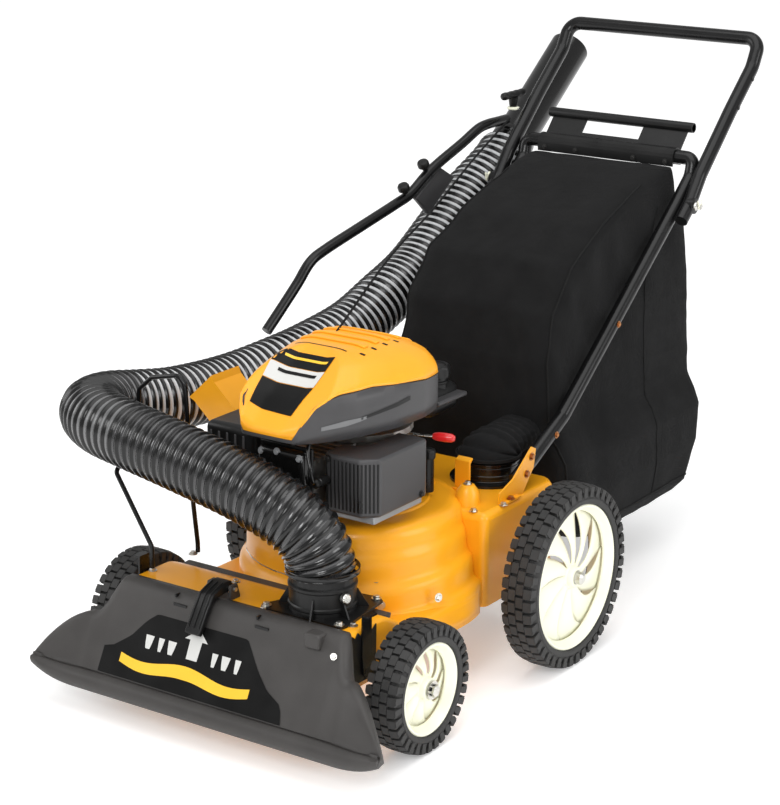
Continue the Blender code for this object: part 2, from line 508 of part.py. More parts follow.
trim = finish_bm("shroud_skirt", loft_bm([shroud_ring(0.985, 0.4420), shroud_ring(1.0, 0.4560), shroud_ring(1.0, 0.4990)]),
                 GREY, smooth=40)
boolean(trim, cutter(loft_bm([inset_ring(shroud_ring(0.985, 0.43), 0.0030), inset_ring(shroud_ring(1.0, 0.4560), 0.0030),
                              inset_ring(shroud_ring(1.0, 0.51), 0.0030)])), "DIFFERENCE")
sh_out = [shroud_ring(1.0, 0.4993), shroud_ring(0.975, 0.5150, 0.003), shroud_ring(0.840, 0.5400, 0.015),
          shroud_ring(0.620, 0.5620, 0.017), shroud_ring(0.360, 0.5740, 0.012)]
shroud = finish_bm("shroud_cover", loft_bm(sh_out), YELLOW, smooth=40)
boolean(shroud, cutter(loft_bm([inset_ring([(x, y, z - (0.01 if k == 0 else 0.0030)) for x, y, z in r], 0.0030)
                                for k, r in enumerate(sh_out)])), "DIFFERENCE")

tank = box("fuel_tank", -0.1000, 0.0600, -0.0700, 0.0180, 0.3920, 0.4400, BLACKP, bevel=0.008, seg=2)
boolean(tank, helper(lathe_bm([(0, 0.4300), (0.0200, 0.4300), (0.0200, 0.4520), (0, 0.4520)], (0.0360, -0.0220, 0), "z", 16)),
        "UNION")
pivot("fuel_cap_axis", (0.0360, -0.0220, 0.4600))
lathe("fuel_cap", [(0, 0.4523), (0.0250, 0.4523), (0.0265, 0.4560), (0.0265, 0.4680), (0.0220, 0.4740), (0.0, 0.4750)],
      (0.0360, -0.0220, 0), BLACKP, "z", 18, "fuel_cap_axis")
lathe("oil_fill_tube", [(0, 0.2963), (0.0100, 0.2963), (0.0100, 0.3520), (0, 0.3520)], (0.0960, -0.1300, 0), BLACKP, "z", 12)
pivot("oil_cap_axis", (0.0960, -0.1300, 0.3560))
lathe("oil_cap", [(0, 0.3523), (0.0130, 0.3523), (0.0130, 0.3640), (0.0060, 0.3680), (0, 0.3680)],
      (0.0960, -0.1300, 0), BLACKP, "z", 12, "oil_cap_axis")
pivot("throttle_axis", (0.0520, -0.1560, 0.3930))
th = prism("throttle_lever", [(0.0480, -0.1620), (0.0560, -0.1640), (0.1150, -0.1400), (0.1150, -0.1340),
                              (0.0560, -0.1480), (0.0480, -0.1500)], "z", 0.3920, 0.3942, RED, "throttle_axis")
grip_bm = lathe_bm([(0, 0.0), (0.0060, 0.002), (0.0075, 0.010), (0.0060, 0.034), (0, 0.036)], (0, 0, 0), "x", 10)
bmesh.ops.transform(grip_bm, matrix=Matrix.Translation((0.1120, -0.1370, 0.3931)) @ Matrix.Rotation(math.radians(14), 4, "Z"),
                    verts=grip_bm.verts[:])
boolean(th, helper(grip_bm, "throttle_axis"), "UNION")

# ------------------------------------------------------------------ discharge collar, latch
lathe("discharge_collar", [(0.0470, REAR_BOX_TOP + GAP), (0.0640, REAR_BOX_TOP + GAP), (0.0640, 0.2765), (OUT_R, 0.2785),
                           (OUT_R, 0.3060), (OUT_R + 0.003, 0.3080), (OUT_R + 0.003, 0.3100), (0.0470, 0.3100)],
      (OUT_X, OUT_Y, 0), BLACKP, "z", 32)
pivot("latch_axis", (0.1000, -0.0330, 0.2790))
prism("bag_latch", [(-0.0355, 0.2755), (-0.0305, 0.2755), (-0.0305, 0.3180), (-0.0240, 0.3240), (-0.0240, 0.3270),
                    (-0.0355, 0.3230)], "x", 0.0860, 0.1140, YELLOW, "latch_axis", 0.0008)

# ------------------------------------------------------------------ bag with its hanger, lifted straight up
pivot("bag_lift", (0, 0.4, 0.40))


def bag_ring(z, yf, yr, w, d=0.0):
    """Rounded rectangle in plan; d moves it inwards."""
    yf, yr, w = yf + d, yr - d, w - d
    r = 0.045 - d
    pts = []
    for cx, cy, a0 in ((w - r, yr - r, 0), (-w + r, yr - r, 90), (-w + r, yf + r, 180), (w - r, yf + r, 270)):
        for k in range(4):
            a = math.radians(a0 + 30 * k)
            pts.append((cx + r * math.cos(a), cy + r * math.sin(a), z))
    return pts


bag_levels = [(0.1080, 0.2800, 0.6000, 0.150), (0.1280, 0.2250, 0.6400, 0.172), (0.2000, 0.1800, 0.6620, 0.182),
              (0.2700, 0.1650, 0.6660, 0.178), (0.3250, 0.1500, 0.6640, 0.1555), (0.4500, 0.1400, 0.6560, 0.1540),
              (0.5300, 0.1600, 0.6500, 0.1530), (0.6000, 0.2200, 0.6420, 0.1520), (0.6550, 0.3250, 0.6300, 0.1500),
              (0.7000, 0.4600, 0.6150, 0.1460), (0.7120, 0.5000, 0.6080, 0.1430)]
BAG_T = 0.0040
bag = finish_bm("bag_shell", loft_bm([bag_ring(*lv) for lv in bag_levels]), FABRIC, "bag_lift", 40)
neck_pts = [(OUT_X, 0.0450, 0.3106), (OUT_X, 0.0490, 0.3350), (OUT_X, 0.0660, 0.3620), (OUT_X - 0.002, 0.1050, 0.3850),
            (OUT_X - 0.008, 0.2200, 0.3950)]


def neck_bm(r, pts):
    """A bent sleeve: rings that start level on the collar and turn to face the bag."""
    rings = []
    for k, p in enumerate(pts):
        if k == 0:
            t = Vector((0, 0, 1))
        else:
            a, b = Vector(pts[k - 1]), Vector(pts[min(k + 1, len(pts) - 1)])
            t = (b - a).normalized()
        side = Vector((1, 0, 0))
        up = t.cross(side).normalized()
        side = up.cross(t).normalized()
        rings.append([Vector(p) + side * (r * math.cos(a)) - up * (r * math.sin(a))
                      for a in [2 * math.pi * i / 20 for i in range(20)]])
    return loft_bm(rings)


boolean(bag, helper(neck_bm(0.0510, neck_pts), "bag_lift"), "UNION")
inner = []
for k, (z, yf, yr, w) in enumerate(bag_levels):
    z2 = z + (BAG_T if k == 0 else 0.0) - (BAG_T if k == len(bag_levels) - 1 else 0.0)
    inner.append(bag_ring(z2, yf, yr, w, BAG_T))
boolean(bag, cutter(loft_bm(inner), "bag_lift"), "DIFFERENCE")
neck_in = [(OUT_X, 0.0450, 0.2900)] + neck_pts[:-1] + [(OUT_X - 0.008, 0.2300, 0.3950)]
boolean(bag, cutter(neck_bm(0.0465, neck_in), "bag_lift"), "DIFFERENCE")
# The top of the back is open under the handle's crossbar, so that the bag can be lifted off it.
boolean(bag, cutter(box_bm(-0.2200, 0.2200, 0.5790, 0.7200, 0.6800, 0.7300), "bag_lift"), "DIFFERENCE")

BAR_Y, BAR_Z = 0.5970, 0.7310           # crossbar of the lower handle
HANG_Y, HANG_Z = 0.6410, 0.7770
ro, ri = 0.0162, 0.0133
arc = [(BAR_Y + ro * math.cos(a), BAR_Z + ro * math.sin(a)) for a in [math.radians(v) for v in (0, 22, 45, 68, 90, 112, 135, 158, 180)]]
arci = [(BAR_Y + ri * math.cos(a), BAR_Z + ri * math.sin(a)) for a in [math.radians(v) for v in (180, 158, 135, 112, 90, 68, 45, 22, 0)]]
hook = [(BAR_Y + ro, BAR_Z - 0.0170)] + arc + [(BAR_Y - ro, BAR_Z - 0.0160), (BAR_Y - ri, BAR_Z - 0.0160)] + arci + \
    [(BAR_Y + ri, BAR_Z - 0.0170)]
hanger = prism("bag_hanger", hook, "x", -0.1400, 0.1400, BLACKM, "bag_lift")
boolean(hanger, helper(prism_bm([(BAR_Y + 0.0110, BAR_Z + 0.0100), (BAR_Y + 0.0130, BAR_Z + 0.0080),
                                 (HANG_Y + 0.0020, HANG_Z - 0.0020), (HANG_Y, HANG_Z)], "x", -0.1400, 0.1400),
                       "bag_lift"), "UNION")
boolean(hanger, helper(lathe_bm([(0, -0.1490), (0.0090, -0.1490), (0.0090, 0.1490), (0, 0.1490)],
                                (0, HANG_Y, HANG_Z), "x", 12), "bag_lift"), "UNION")
slot = prism_bm([(BAR_Y + 0.0100, BAR_Z + 0.0260), (BAR_Y + 0.0280, BAR_Z + 0.0120), (HANG_Y + 0.0060, HANG_Z - 0.0140),
                 (HANG_Y - 0.0130, HANG_Z + 0.0060)], "x", -0.0680, 0.0500)
boolean(hanger, cutter(slot, "bag_lift"), "DIFFERENCE")

# ------------------------------------------------------------------ handles
lower = rounded_path([(LOWER_X, 0.0120, 0.2900), (LOWER_X, 0.0600, 0.3120), (LOWER_X, 0.1580, 0.3620),
                      (LOWER_X, FOLD_Y, FOLD_Z - 0.0030), (LOWER_X, 0.5880, 0.7000), (LOWER_X, BAR_Y, BAR_Z),
                      (-LOWER_X, BAR_Y, BAR_Z), (-LOWER_X, 0.5880, 0.7000), (-LOWER_X, FOLD_Y, FOLD_Z - 0.0030),
                      (-LOWER_X, 0.1580, 0.3620), (-LOWER_X, 0.0600, 0.3120), (-LOWER_X, 0.0120, 0.2900)], 0.026, 4)
tube("lower_handle", lower, TUBE_R, BLACKM, res=3)
for side, s in (("left", 1), ("right", -1)):
    b = prism("handle_bracket_" + side, [(-0.0620, REAR_BOX_TOP + GAP), (0.0100, REAR_BOX_TOP + GAP), (0.0420, 0.3080),
                                         (0.0480, 0.3380), (0.0360, 0.3440), (-0.0200, 0.3040), (-0.0620, 0.2900)],
              "x", s * 0.1868, s * 0.1898, YELLOW)
    boolean(b, helper(box_bm(min(s * 0.1880, s * 0.1990), max(s * 0.1880, s * 0.1990), -0.0620, -0.0100,
                             REAR_BOX_TOP + GAP, REAR_BOX_TOP + 0.0033)), "UNION")

pivot("handle_fold", (0, FOLD_Y, FOLD_Z))
upper = rounded_path([(UPPER_X, 0.5080, 0.6370), (UPPER_X, 0.5400, 0.6630), (UPPER_X, 0.5750, 0.7080), (UPPER_X, 0.6810, 0.8060),
                      (UPPER_X, 0.7620, 0.8750), (UPPER_X, 0.7890, 0.9230), (-UPPER_X, 0.7890, 0.9230),
                      (-UPPER_X, 0.7620, 0.8750), (-UPPER_X, 0.6810, 0.8060), (-UPPER_X, 0.5750, 0.7080),
                      (-UPPER_X, 0.5400, 0.6630), (-UPPER_X, 0.5080, 0.6370)], 0.050, 5)
tube("upper_handle", upper, TUBE_R, BLACKM, "handle_fold", res=3)
for side, s in (("left", 1), ("right", -1)):
    pivot("fold_knob_axis_" + side, (s * 0.2200, FOLD_Y, FOLD_Z), "handle_fold")
    k = lathe("fold_knob_" + side, [(0, s * 0.2119), (0.0070, s * 0.2119), (0.0070, s * 0.2160), (0.0050, s * 0.2180),
                                    (0.0050, s * 0.2240), (0, s * 0.2240)], (0, FOLD_Y, FOLD_Z), CREAM, "x", 12,
              "fold_knob_axis_" + side)
    boolean(k, helper(prism_bm([(FOLD_Y - 0.0060, FOLD_Z - 0.0040), (FOLD_Y + 0.0060, FOLD_Z - 0.0040),
                                (FOLD_Y + 0.0080, FOLD_Z + 0.0120), (FOLD_Y, FOLD_Z + 0.0090),
                                (FOLD_Y - 0.0080, FOLD_Z + 0.0120)], "x", min(s * 0.2190, s * 0.2225),
                               max(s * 0.2190, s * 0.2225)), "fold_knob_axis_" + side), "UNION")
# Rope guide on the far leg with the starter grip resting on it, and the starter rope to the engine.
GUIDE = (-UPPER_X - 0.0260, 0.6300, 0.7780)
guide = lathe("rope_guide", [(0.0060, -0.0025), (0.0115, -0.0025), (0.0115, 0.0025), (0.0060, 0.0025)],
              GUIDE, CREAM, "z", 16, "handle_fold")
boolean(guide, helper(box_bm(-UPPER_X - 0.0172, -UPPER_X - 0.0130, 0.6260, 0.6340, 0.7765, 0.7795), "handle_fold"), "UNION")
pivot("starter_axis", (GUIDE[0], GUIDE[1], GUIDE[2] + 0.01), "handle_fold")
grip = lathe("starter_grip", [(0, 0.0030), (0.0075, 0.0030), (0.0100, 0.0150), (0.0100, 0.0220), (0, 0.0220)],
             GUIDE, BLACKP, "z", 12, "starter_axis")
boolean(grip, helper(box_bm(GUIDE[0] - 0.0085, GUIDE[0] + 0.0085, GUIDE[1] - 0.0380, GUIDE[1] + 0.0380,
                            GUIDE[2] + 0.0180, GUIDE[2] + 0.0330), "starter_axis"), "UNION")
add_bevel(grip, 0.003, 1)
tube("starter_rope", [(-0.0300, -0.2050, 0.5880), (-0.0800, 0.0150, 0.6280), (-0.1300, 0.2200, 0.6680),
                      (-0.1800, 0.4250, 0.7180), (GUIDE[0] + 0.008, 0.6050, 0.7620)], 0.0020, BLACKP, res=2)

# ------------------------------------------------------------------ wheels, axles and height levers
lathe("rear_axle", [(0, -0.3140), (0.0060, -0.3140), (0.0105, -0.3110), (0.0105, -0.3020), (0.0060, -0.3020),
                    (0.0060, 0.3020), (0.0105, 0.3020), (0.0105, 0.3110), (0.0060, 0.3140), (0, 0.3140)],
      (0, 0, 0.1524), STEEL, "x", 12)


def wheel(tag, x, y, z, r_t, r_rim, axis_name, s):
    """Tyre and rim turn together about the axle line; s is +1 on the left side (+X)."""
    h = TYRE_W / 2
    lathe("tyre_" + tag, [(r_rim, -h + 0.004), (r_rim + 0.004, -h), (r_t - 0.010, -h), (r_t - 0.001, -h + 0.008), (r_t, -0.006),
                          (r_t, 0.006), (r_t - 0.001, h - 0.008), (r_t - 0.010, h), (r_rim + 0.004, h), (r_rim, h - 0.004)],
          (x, y, z), RUBBER, "x", 28, axis_name)
    rr = r_rim - GAP
    prof = [(0.0066, -s * 0.0230), (0.0180, -s * 0.0230), (0.0180, s * 0.0020), (rr - 0.006, s * 0.0060),
            (rr - 0.003, -s * 0.0210), (rr, -s * 0.0210), (rr, s * 0.0230), (rr - 0.003, s * 0.0230),
            (rr - 0.008, s * 0.0110), (0.0180, s * 0.0100), (0.0170, s * 0.0240), (0.0066, s * 0.0240)]
    lathe("rim_" + tag, prof, (x, y, z), CREAM, "x", 28, axis_name)


for side, s in (("left", 1), ("right", -1)):
    pivot("rear_wheel_axis_" + side, (s * REAR_X, 0, 0.1524))
    wheel("rear_" + side, s * REAR_X, 0, 0.1524, REAR_R, REAR_RIM, "rear_wheel_axis_" + side, s)
    # The height lever turns on a bolt in the deck flange and carries the front wheel's stub axle.
    PV = (s * 0.2150, -0.4620, 0.1350)
    pivot("height_pivot_" + side, PV)
    idx = prism("height_index_" + side, [(-0.4980, 0.1180), (-0.4400, 0.1180), (-0.4380, 0.1980), (-0.4500, 0.1900),
                                         (-0.4560, 0.1980), (-0.4640, 0.1900), (-0.4700, 0.1980), (-0.4780, 0.1900),
                                         (-0.4840, 0.1980), (-0.4910, 0.1900), (-0.4980, 0.1960)],
                "x", s * 0.2103, s * 0.2123, BLACKM)
    arm = prism("height_lever_" + side, [(-0.4020, 0.0920), (-0.4020, 0.1120), (-0.4480, 0.1440), (-0.4560, 0.1640),
                                         (-0.4560, 0.2240), (-0.4780, 0.2240), (-0.4800, 0.1600), (-0.4760, 0.1300),
                                         (-0.4700, 0.1240), (-0.4200, 0.0920)], "x", s * 0.2135, s * 0.2165, BLACKM,
                "height_pivot_" + side)
    boolean(arm, helper(lathe_bm([(0, s * 0.2150), (0.0060, s * 0.2150), (0.0060, s * 0.2925), (0.0095, s * 0.2925),
                                  (0.0095, s * 0.2990), (0.0060, s * 0.3010), (0, s * 0.3010)],
                                 (0, FRONT_Y, FRONT_R), "x", 12), "height_pivot_" + side), "UNION")
    boolean(arm, helper(box_bm(min(s * 0.2150, s * 0.2260), max(s * 0.2150, s * 0.2260), -0.4780, -0.4560, 0.2210, 0.2240),
                        "height_pivot_" + side), "UNION")
    pivot("front_wheel_axis_" + side, (s * FRONT_X, FRONT_Y, FRONT_R), "height_pivot_" + side)
    wheel("front_" + side, s * FRONT_X, FRONT_Y, FRONT_R, FRONT_R, FRONT_RIM, "front_wheel_axis_" + side, s)
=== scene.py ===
# Leaf vacuum mulcher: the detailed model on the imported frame.
import bpy, bmesh, math, random
import numpy as np
from mathutils import Vector, Matrix, noise

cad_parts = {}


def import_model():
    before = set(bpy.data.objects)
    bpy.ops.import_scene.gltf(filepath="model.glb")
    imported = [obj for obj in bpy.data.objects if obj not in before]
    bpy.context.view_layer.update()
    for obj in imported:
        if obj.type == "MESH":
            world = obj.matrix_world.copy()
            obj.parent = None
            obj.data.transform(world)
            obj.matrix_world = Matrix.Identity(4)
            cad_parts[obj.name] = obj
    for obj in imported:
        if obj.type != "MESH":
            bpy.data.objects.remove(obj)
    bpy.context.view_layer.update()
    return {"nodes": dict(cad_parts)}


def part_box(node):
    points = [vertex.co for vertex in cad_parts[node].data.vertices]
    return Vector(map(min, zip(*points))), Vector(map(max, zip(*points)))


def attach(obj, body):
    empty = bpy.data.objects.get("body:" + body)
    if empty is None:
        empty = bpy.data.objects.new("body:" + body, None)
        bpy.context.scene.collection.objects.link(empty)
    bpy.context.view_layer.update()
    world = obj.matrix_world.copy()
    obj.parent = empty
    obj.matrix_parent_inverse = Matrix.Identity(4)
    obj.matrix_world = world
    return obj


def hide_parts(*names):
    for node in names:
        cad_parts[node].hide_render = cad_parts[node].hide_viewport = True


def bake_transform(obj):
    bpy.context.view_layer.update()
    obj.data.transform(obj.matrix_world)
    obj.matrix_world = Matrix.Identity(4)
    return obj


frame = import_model()
scene = bpy.context.scene
lo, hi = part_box("rear_axle")
OY = (lo.y + hi.y) / 2.0                     # rear axle line; pieces are written from it
CRANK_Y = -0.1900


# ------------------------------------------------------------------ materials
def nodes_of(name):
    m = bpy.data.materials.new(name)
    m.use_nodes = True
    nt = m.node_tree
    return m, nt, nt.nodes["Principled BSDF"]


def surface(name, rgb, rough=0.4, metal=0.0, grain=900.0, depth=0.15, var=0.10, var_scale=14.0, rvar=0.08,
            coat=0.0, sheen=0.0, dust=0.0, spec=0.5):
    """Painted, moulded or cast surface: colour drifts, roughness is uneven, and a fine grain lifts the normal."""
    m, nt, b = nodes_of(name)
    tc = nt.nodes.new("ShaderNodeTexCoord")
    n1 = nt.nodes.new("ShaderNodeTexNoise")
    n1.inputs["Scale"].default_value = var_scale
    n1.inputs["Detail"].default_value = 6.0
    n2 = nt.nodes.new("ShaderNodeTexNoise")
    n2.inputs["Scale"].default_value = grain
    n2.inputs["Detail"].default_value = 3.0
    nt.links.new(tc.outputs["Object"], n1.inputs["Vector"])
    nt.links.new(tc.outputs["Object"], n2.inputs["Vector"])
    ramp = nt.nodes.new("ShaderNodeValToRGB")
    ramp.color_ramp.elements[0].position = 0.30
    ramp.color_ramp.elements[1].position = 0.70
    ramp.color_ramp.elements[0].color = (*[max(0.0, c * (1 - var)) for c in rgb], 1)
    ramp.color_ramp.elements[1].color = (*[min(1.0, c * (1 + var) + dust) for c in rgb], 1)
    nt.links.new(n1.outputs["Fac"], ramp.inputs["Fac"])
    nt.links.new(ramp.outputs["Color"], b.inputs["Base Color"])
    mr = nt.nodes.new("ShaderNodeMapRange")
    mr.inputs["From Min"].default_value, mr.inputs["From Max"].default_value = 0.3, 0.7
    mr.inputs["To Min"].default_value, mr.inputs["To Max"].default_value = max(0.02, rough - rvar), min(1, rough + rvar)
    nt.links.new(n1.outputs["Fac"], mr.inputs["Value"])
    nt.links.new(mr.outputs["Result"], b.inputs["Roughness"])
    bp = nt.nodes.new("ShaderNodeBump")
    bp.inputs["Strength"].default_value = depth
    bp.inputs["Distance"].default_value = 0.0006
    nt.links.new(n2.outputs["Fac"], bp.inputs["Height"])
    nt.links.new(bp.outputs["Normal"], b.inputs["Normal"])
    b.inputs["Metallic"].default_value = metal
    b.inputs["Coat Weight"].default_value = coat
    b.inputs["Coat Roughness"].default_value = 0.08
    b.inputs["Specular IOR Level"].default_value = spec
    b.inputs["Sheen Weight"].default_value = sheen
    m.diffuse_color = (*rgb, 1)
    return m


def cloth(name, rgb, pitch=420.0, depth=0.5):
    """Woven cloth: crossed threads from two wave fields, mottled a little."""
    m, nt, b = nodes_of(name)
    tc = nt.nodes.new("ShaderNodeTexCoord")
    outs = []
    for d in ("X", "Z"):
        w = nt.nodes.new("ShaderNodeTexWave")
        w.wave_type, w.bands_direction = "BANDS", d
        w.inputs["Scale"].default_value = pitch
        w.inputs["Distortion"].default_value = 1.2
        w.inputs["Detail"].default_value = 1.0
        nt.links.new(tc.outputs["Object"], w.inputs["Vector"])
        outs.append(w)
    mx = nt.nodes.new("ShaderNodeMath")
    mx.operation = "MAXIMUM"
    nt.links.new(outs[0].outputs["Fac"], mx.inputs[0])
    nt.links.new(outs[1].outputs["Fac"], mx.inputs[1])
    n1 = nt.nodes.new("ShaderNodeTexNoise")
    n1.inputs["Scale"].default_value = 22.0
    n1.inputs["Detail"].default_value = 8.0
    nt.links.new(tc.outputs["Object"], n1.inputs["Vector"])
    ramp = nt.nodes.new("ShaderNodeValToRGB")
    ramp.color_ramp.elements[0].color = (*[c * 0.65 for c in rgb], 1)
    ramp.color_ramp.elements[1].color = (*[c * 1.5 for c in rgb], 1)
    nt.links.new(n1.outputs["Fac"], ramp.inputs["Fac"])
    nt.links.new(ramp.outputs["Color"], b.inputs["Base Color"])
    bp = nt.nodes.new("ShaderNodeBump")
    bp.inputs["Strength"].default_value = depth
    bp.inputs["Distance"].default_value = 0.0008
    nt.links.new(mx.outputs["Value"], bp.inputs["Height"])
    n3 = nt.nodes.new("ShaderNodeTexNoise")
    n3.inputs["Scale"].default_value = 30.0
    n3.inputs["Detail"].default_value = 5.0
    nt.links.new(tc.outputs["Object"], n3.inputs["Vector"])
    b2 = nt.nodes.new("ShaderNodeBump")
    b2.inputs["Strength"].default_value = 0.35
    b2.inputs["Distance"].default_value = 0.006
    nt.links.new(n3.outputs["Fac"], b2.inputs["Height"])
    nt.links.new(bp.outputs["Normal"], b2.inputs["Normal"])
    nt.links.new(b2.outputs["Normal"], b.inputs["Normal"])
    b.inputs["Roughness"].default_value = 0.92
    b.inputs["Specular IOR Level"].default_value = 0.12
    b.inputs["Sheen Weight"].default_value = 0.02
    b.inputs["Sheen Roughness"].default_value = 0.5
    return m


YELLOW = surface("paint_yellow", (0.880, 0.375, 0.010), 0.34, 0, 420, 0.06, 0.05, 9, 0.05, coat=0.12, spec=0.35)
YELLOW_P = surface("plastic_yellow", (0.900, 0.375, 0.014), 0.36, 0, 1100, 0.10, 0.04, 8, 0.06, coat=0.08, spec=0.40)
GREY = surface("plastic_charcoal", (0.046, 0.043, 0.041), 0.46, 0, 1300, 0.35, 0.12, 20, 0.08, spec=0.35)
GREY2 = surface("plastic_graphite", (0.052, 0.051, 0.053), 0.38, 0, 1200, 0.2, 0.10, 18, 0.06, spec=0.35)
BLACK_P = surface("plastic_black", (0.0070, 0.0070, 0.0070), 0.34, 0, 1100, 0.22, 0.2, 20, 0.08, spec=0.28)
BLACK_G = surface("gloss_black", (0.0050, 0.0050, 0.0050), 0.20, 0, 700, 0.05, 0.2, 14, 0.06, coat=0.12, spec=0.35)
TUBE = surface("tube_black", (0.0050, 0.0050, 0.0052), 0.24, 0, 600, 0.06, 0.2, 12, 0.06, coat=0.10, spec=0.28)
RUBBER = surface("rubber_tyre", (0.0300, 0.0295, 0.0290), 0.66, 0, 700, 0.6, 0.30, 24, 0.10, spec=0.40)
CREAM = surface("plastic_cream", (0.90, 0.90, 0.73), 0.34, 0, 1000, 0.1, 0.03, 10, 0.06, coat=0.10)
ZINC = surface("zinc_plate", (0.62, 0.61, 0.57), 0.30, 1.0, 900, 0.15, 0.10, 60, 0.12)
CAST = surface("cast_alloy", (0.36, 0.35, 0.33), 0.50, 1.0, 500, 0.7, 0.15, 40, 0.12)
DARKM = surface("dark_metal", (0.035, 0.034, 0.033), 0.40, 0.6, 700, 0.4, 0.2, 40, 0.1)
COPPER = surface("bolt_bronze", (0.40, 0.17, 0.06), 0.35, 1.0, 900, 0.1, 0.1, 60, 0.1)
RED = surface("plastic_red", (0.62, 0.012, 0.014), 0.30, 0, 900, 0.1, 0.06, 20, 0.05, coat=0.3)
SILVER = surface("label_silver", (0.30, 0.31, 0.32), 0.32, 0.2, 900, 0.05, 0.04, 20, 0.05)
WHITE = surface("label_white", (0.60, 0.60, 0.58), 0.45, 0, 900, 0.05, 0.03, 20, 0.05, spec=0.3)
BAG = cloth("bag_cloth_weave", (0.0080, 0.0080, 0.0082))
WEB = cloth("webbing_black", (0.012, 0.012, 0.012), 700, 0.6)


# ------------------------------------------------------------------ mesh helpers (Y is from the rear axle line)
def mesh_obj(name, bm, mat, body="chassis", smooth=35, normals=True):
    if normals:
        bmesh.ops.recalc_face_normals(bm, faces=bm.faces[:])
    me = bpy.data.meshes.new(name)
    bm.to_mesh(me)
    bm.free()
    me.transform(Matrix.Translation((0, OY, 0)))
    for m in (mat if isinstance(mat, (list, tuple)) else [mat]):
        me.materials.append(m)
    if smooth is not None:
        me.shade_smooth()
        me.set_sharp_from_angle(angle=math.radians(smooth))
    ob = bpy.data.objects.new(name, me)
    scene.collection.objects.link(ob)
    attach(ob, body)
    return ob


def bevel(ob, w, seg=2, angle=32):
    m = ob.modifiers.new("edge", "BEVEL")
    m.width, m.segments, m.limit_method, m.angle_limit = w, seg, "ANGLE", math.radians(angle)
    m.harden_normals = False
    ob.data.shade_smooth()
    return ob


def add_box(bm, x0, x1, y0, y1, z0, z1, M=None):
    vs = [bm.verts.new(Vector(c)) for c in ((x0, y0, z0), (x1, y0, z0), (x1, y1, z0), (x0, y1, z0),
                                             (x0, y0, z1), (x1, y0, z1), (x1, y1, z1), (x0, y1, z1))]
    if M is not None:
        for v in vs:
            v.co = M @ v.co
    for f in ((0, 3, 2, 1), (4, 5, 6, 7), (0, 1, 5, 4), (1, 2, 6, 5), (2, 3, 7, 6), (3, 0, 4, 7)):
        bm.faces.new([vs[i] for i in f])
    return vs


def box_obj(name, b, mat, body="chassis", bev=0.002, seg=2, M=None):
    bm = bmesh.new()
    add_box(bm, *b, M=M)
    ob = mesh_obj(name, bm, mat, body)
    if bev:
        bevel(ob, bev, seg)
    return ob


def add_prism(bm, pts, axis, a0, a1, M=None):
    def co(p, a):
        return Vector((a, p[0], p[1])) if axis == "x" else Vector((p[0], a, p[1])) if axis == "y" else Vector((p[0], p[1], a))
    l = [bm.verts.new(co(p, a0)) for p in pts]
    h = [bm.verts.new(co(p, a1)) for p in pts]
    if M is not None:
        for v in l + h:
            v.co = M @ v.co
    bm.faces.new(l)
    bm.faces.new(h)
    for i in range(len(pts)):
        j = (i + 1) % len(pts)
        bm.faces.new((l[i], l[j], h[j], h[i]))


def prism_obj(name, pts, axis, a0, a1, mat, body="chassis", bev=0.0015, seg=2, M=None):
    bm = bmesh.new()
    add_prism(bm, pts, axis, a0, a1, M)
    ob = mesh_obj(name, bm, mat, body)
    if bev:
        bevel(ob, bev, seg)
    return ob


def add_lathe(bm, prof, c, axis="z", seg=48, M=None, closed=False):
    rings = []
    for r, h in prof:
        ring = []
        for i in range(1 if r < 1e-7 else seg):
            a = 2 * math.pi * i / seg
            u, v = r * math.cos(a), r * math.sin(a)
            p = Vector((h, u, v)) if axis == "x" else Vector((u, h, v)) if axis == "y" else Vector((u, v, h))
            p = p + Vector(c)
            ring.append(bm.verts.new(M @ p if M is not None else p))
        rings.append(ring)
    pairs = list(zip(rings[:-1], rings[1:])) + ([(rings[-1], rings[0])] if closed else [])
    for a, b in pairs:
        if len(a) == 1 and len(b) == 1:
            continue
        for i in range(seg):
            j = (i + 1) % seg
            if len(a) == 1:
                bm.faces.new((a[0], b[i], b[j]))
            elif len(b) == 1:
                bm.faces.new((a[i], a[j], b[0]))
            else:
                bm.faces.new((a[i], a[j], b[j], b[i]))


def lathe_obj(name, prof, c, mat, axis="z", seg=48, body="chassis", smooth=35, M=None, closed=False):
    bm = bmesh.new()
    add_lathe(bm, prof, c, axis, seg, M, closed)
    return mesh_obj(name, bm, mat, body, smooth)


def loft_bm(rings, caps=(True, True), closed=True):
    bm = bmesh.new()
    vr = [[bm.verts.new(Vector(p)) for p in ring] for ring in rings]
    n = len(vr[0])
    for a, b in zip(vr[:-1], vr[1:]):
        for i in range(n if closed else n - 1):
            j = (i + 1) % n
            bm.faces.new((a[i], a[j], b[j], b[i]))
    if caps[0]:
        bm.faces.new(vr[0])
    if caps[1]:
        bm.faces.new(vr[-1])
    return bm


def catmull(pts, per=12):
    P = [np.array(p, float) for p in pts]
    P = [2 * P[0] - P[1]] + P + [2 * P[-1] - P[-2]]
    out = []
    for k in range(1, len(P) - 2):
        p0, p1, p2, p3 = P[k - 1:k + 3]
        for t in np.linspace(0, 1, per, endpoint=False):
            out.append(0.5 * ((2 * p1) + (-p0 + p2) * t + (2 * p0 - 5 * p1 + 4 * p2 - p3) * t * t
                              + (-p0 + 3 * p1 - 3 * p2 + p3) * t ** 3))
    out.append(P[-2])
    return np.array(out)


def even(path, step):
    path = np.array(path, float)
    s = np.concatenate([[0], np.cumsum(np.linalg.norm(np.diff(path, axis=0), axis=1))])
    n = max(2, int(round(s[-1] / step)))
    u = np.linspace(0, s[-1], n + 1)
    return np.stack([np.interp(u, s, path[:, i]) for i in range(3)], 1), s[-1]


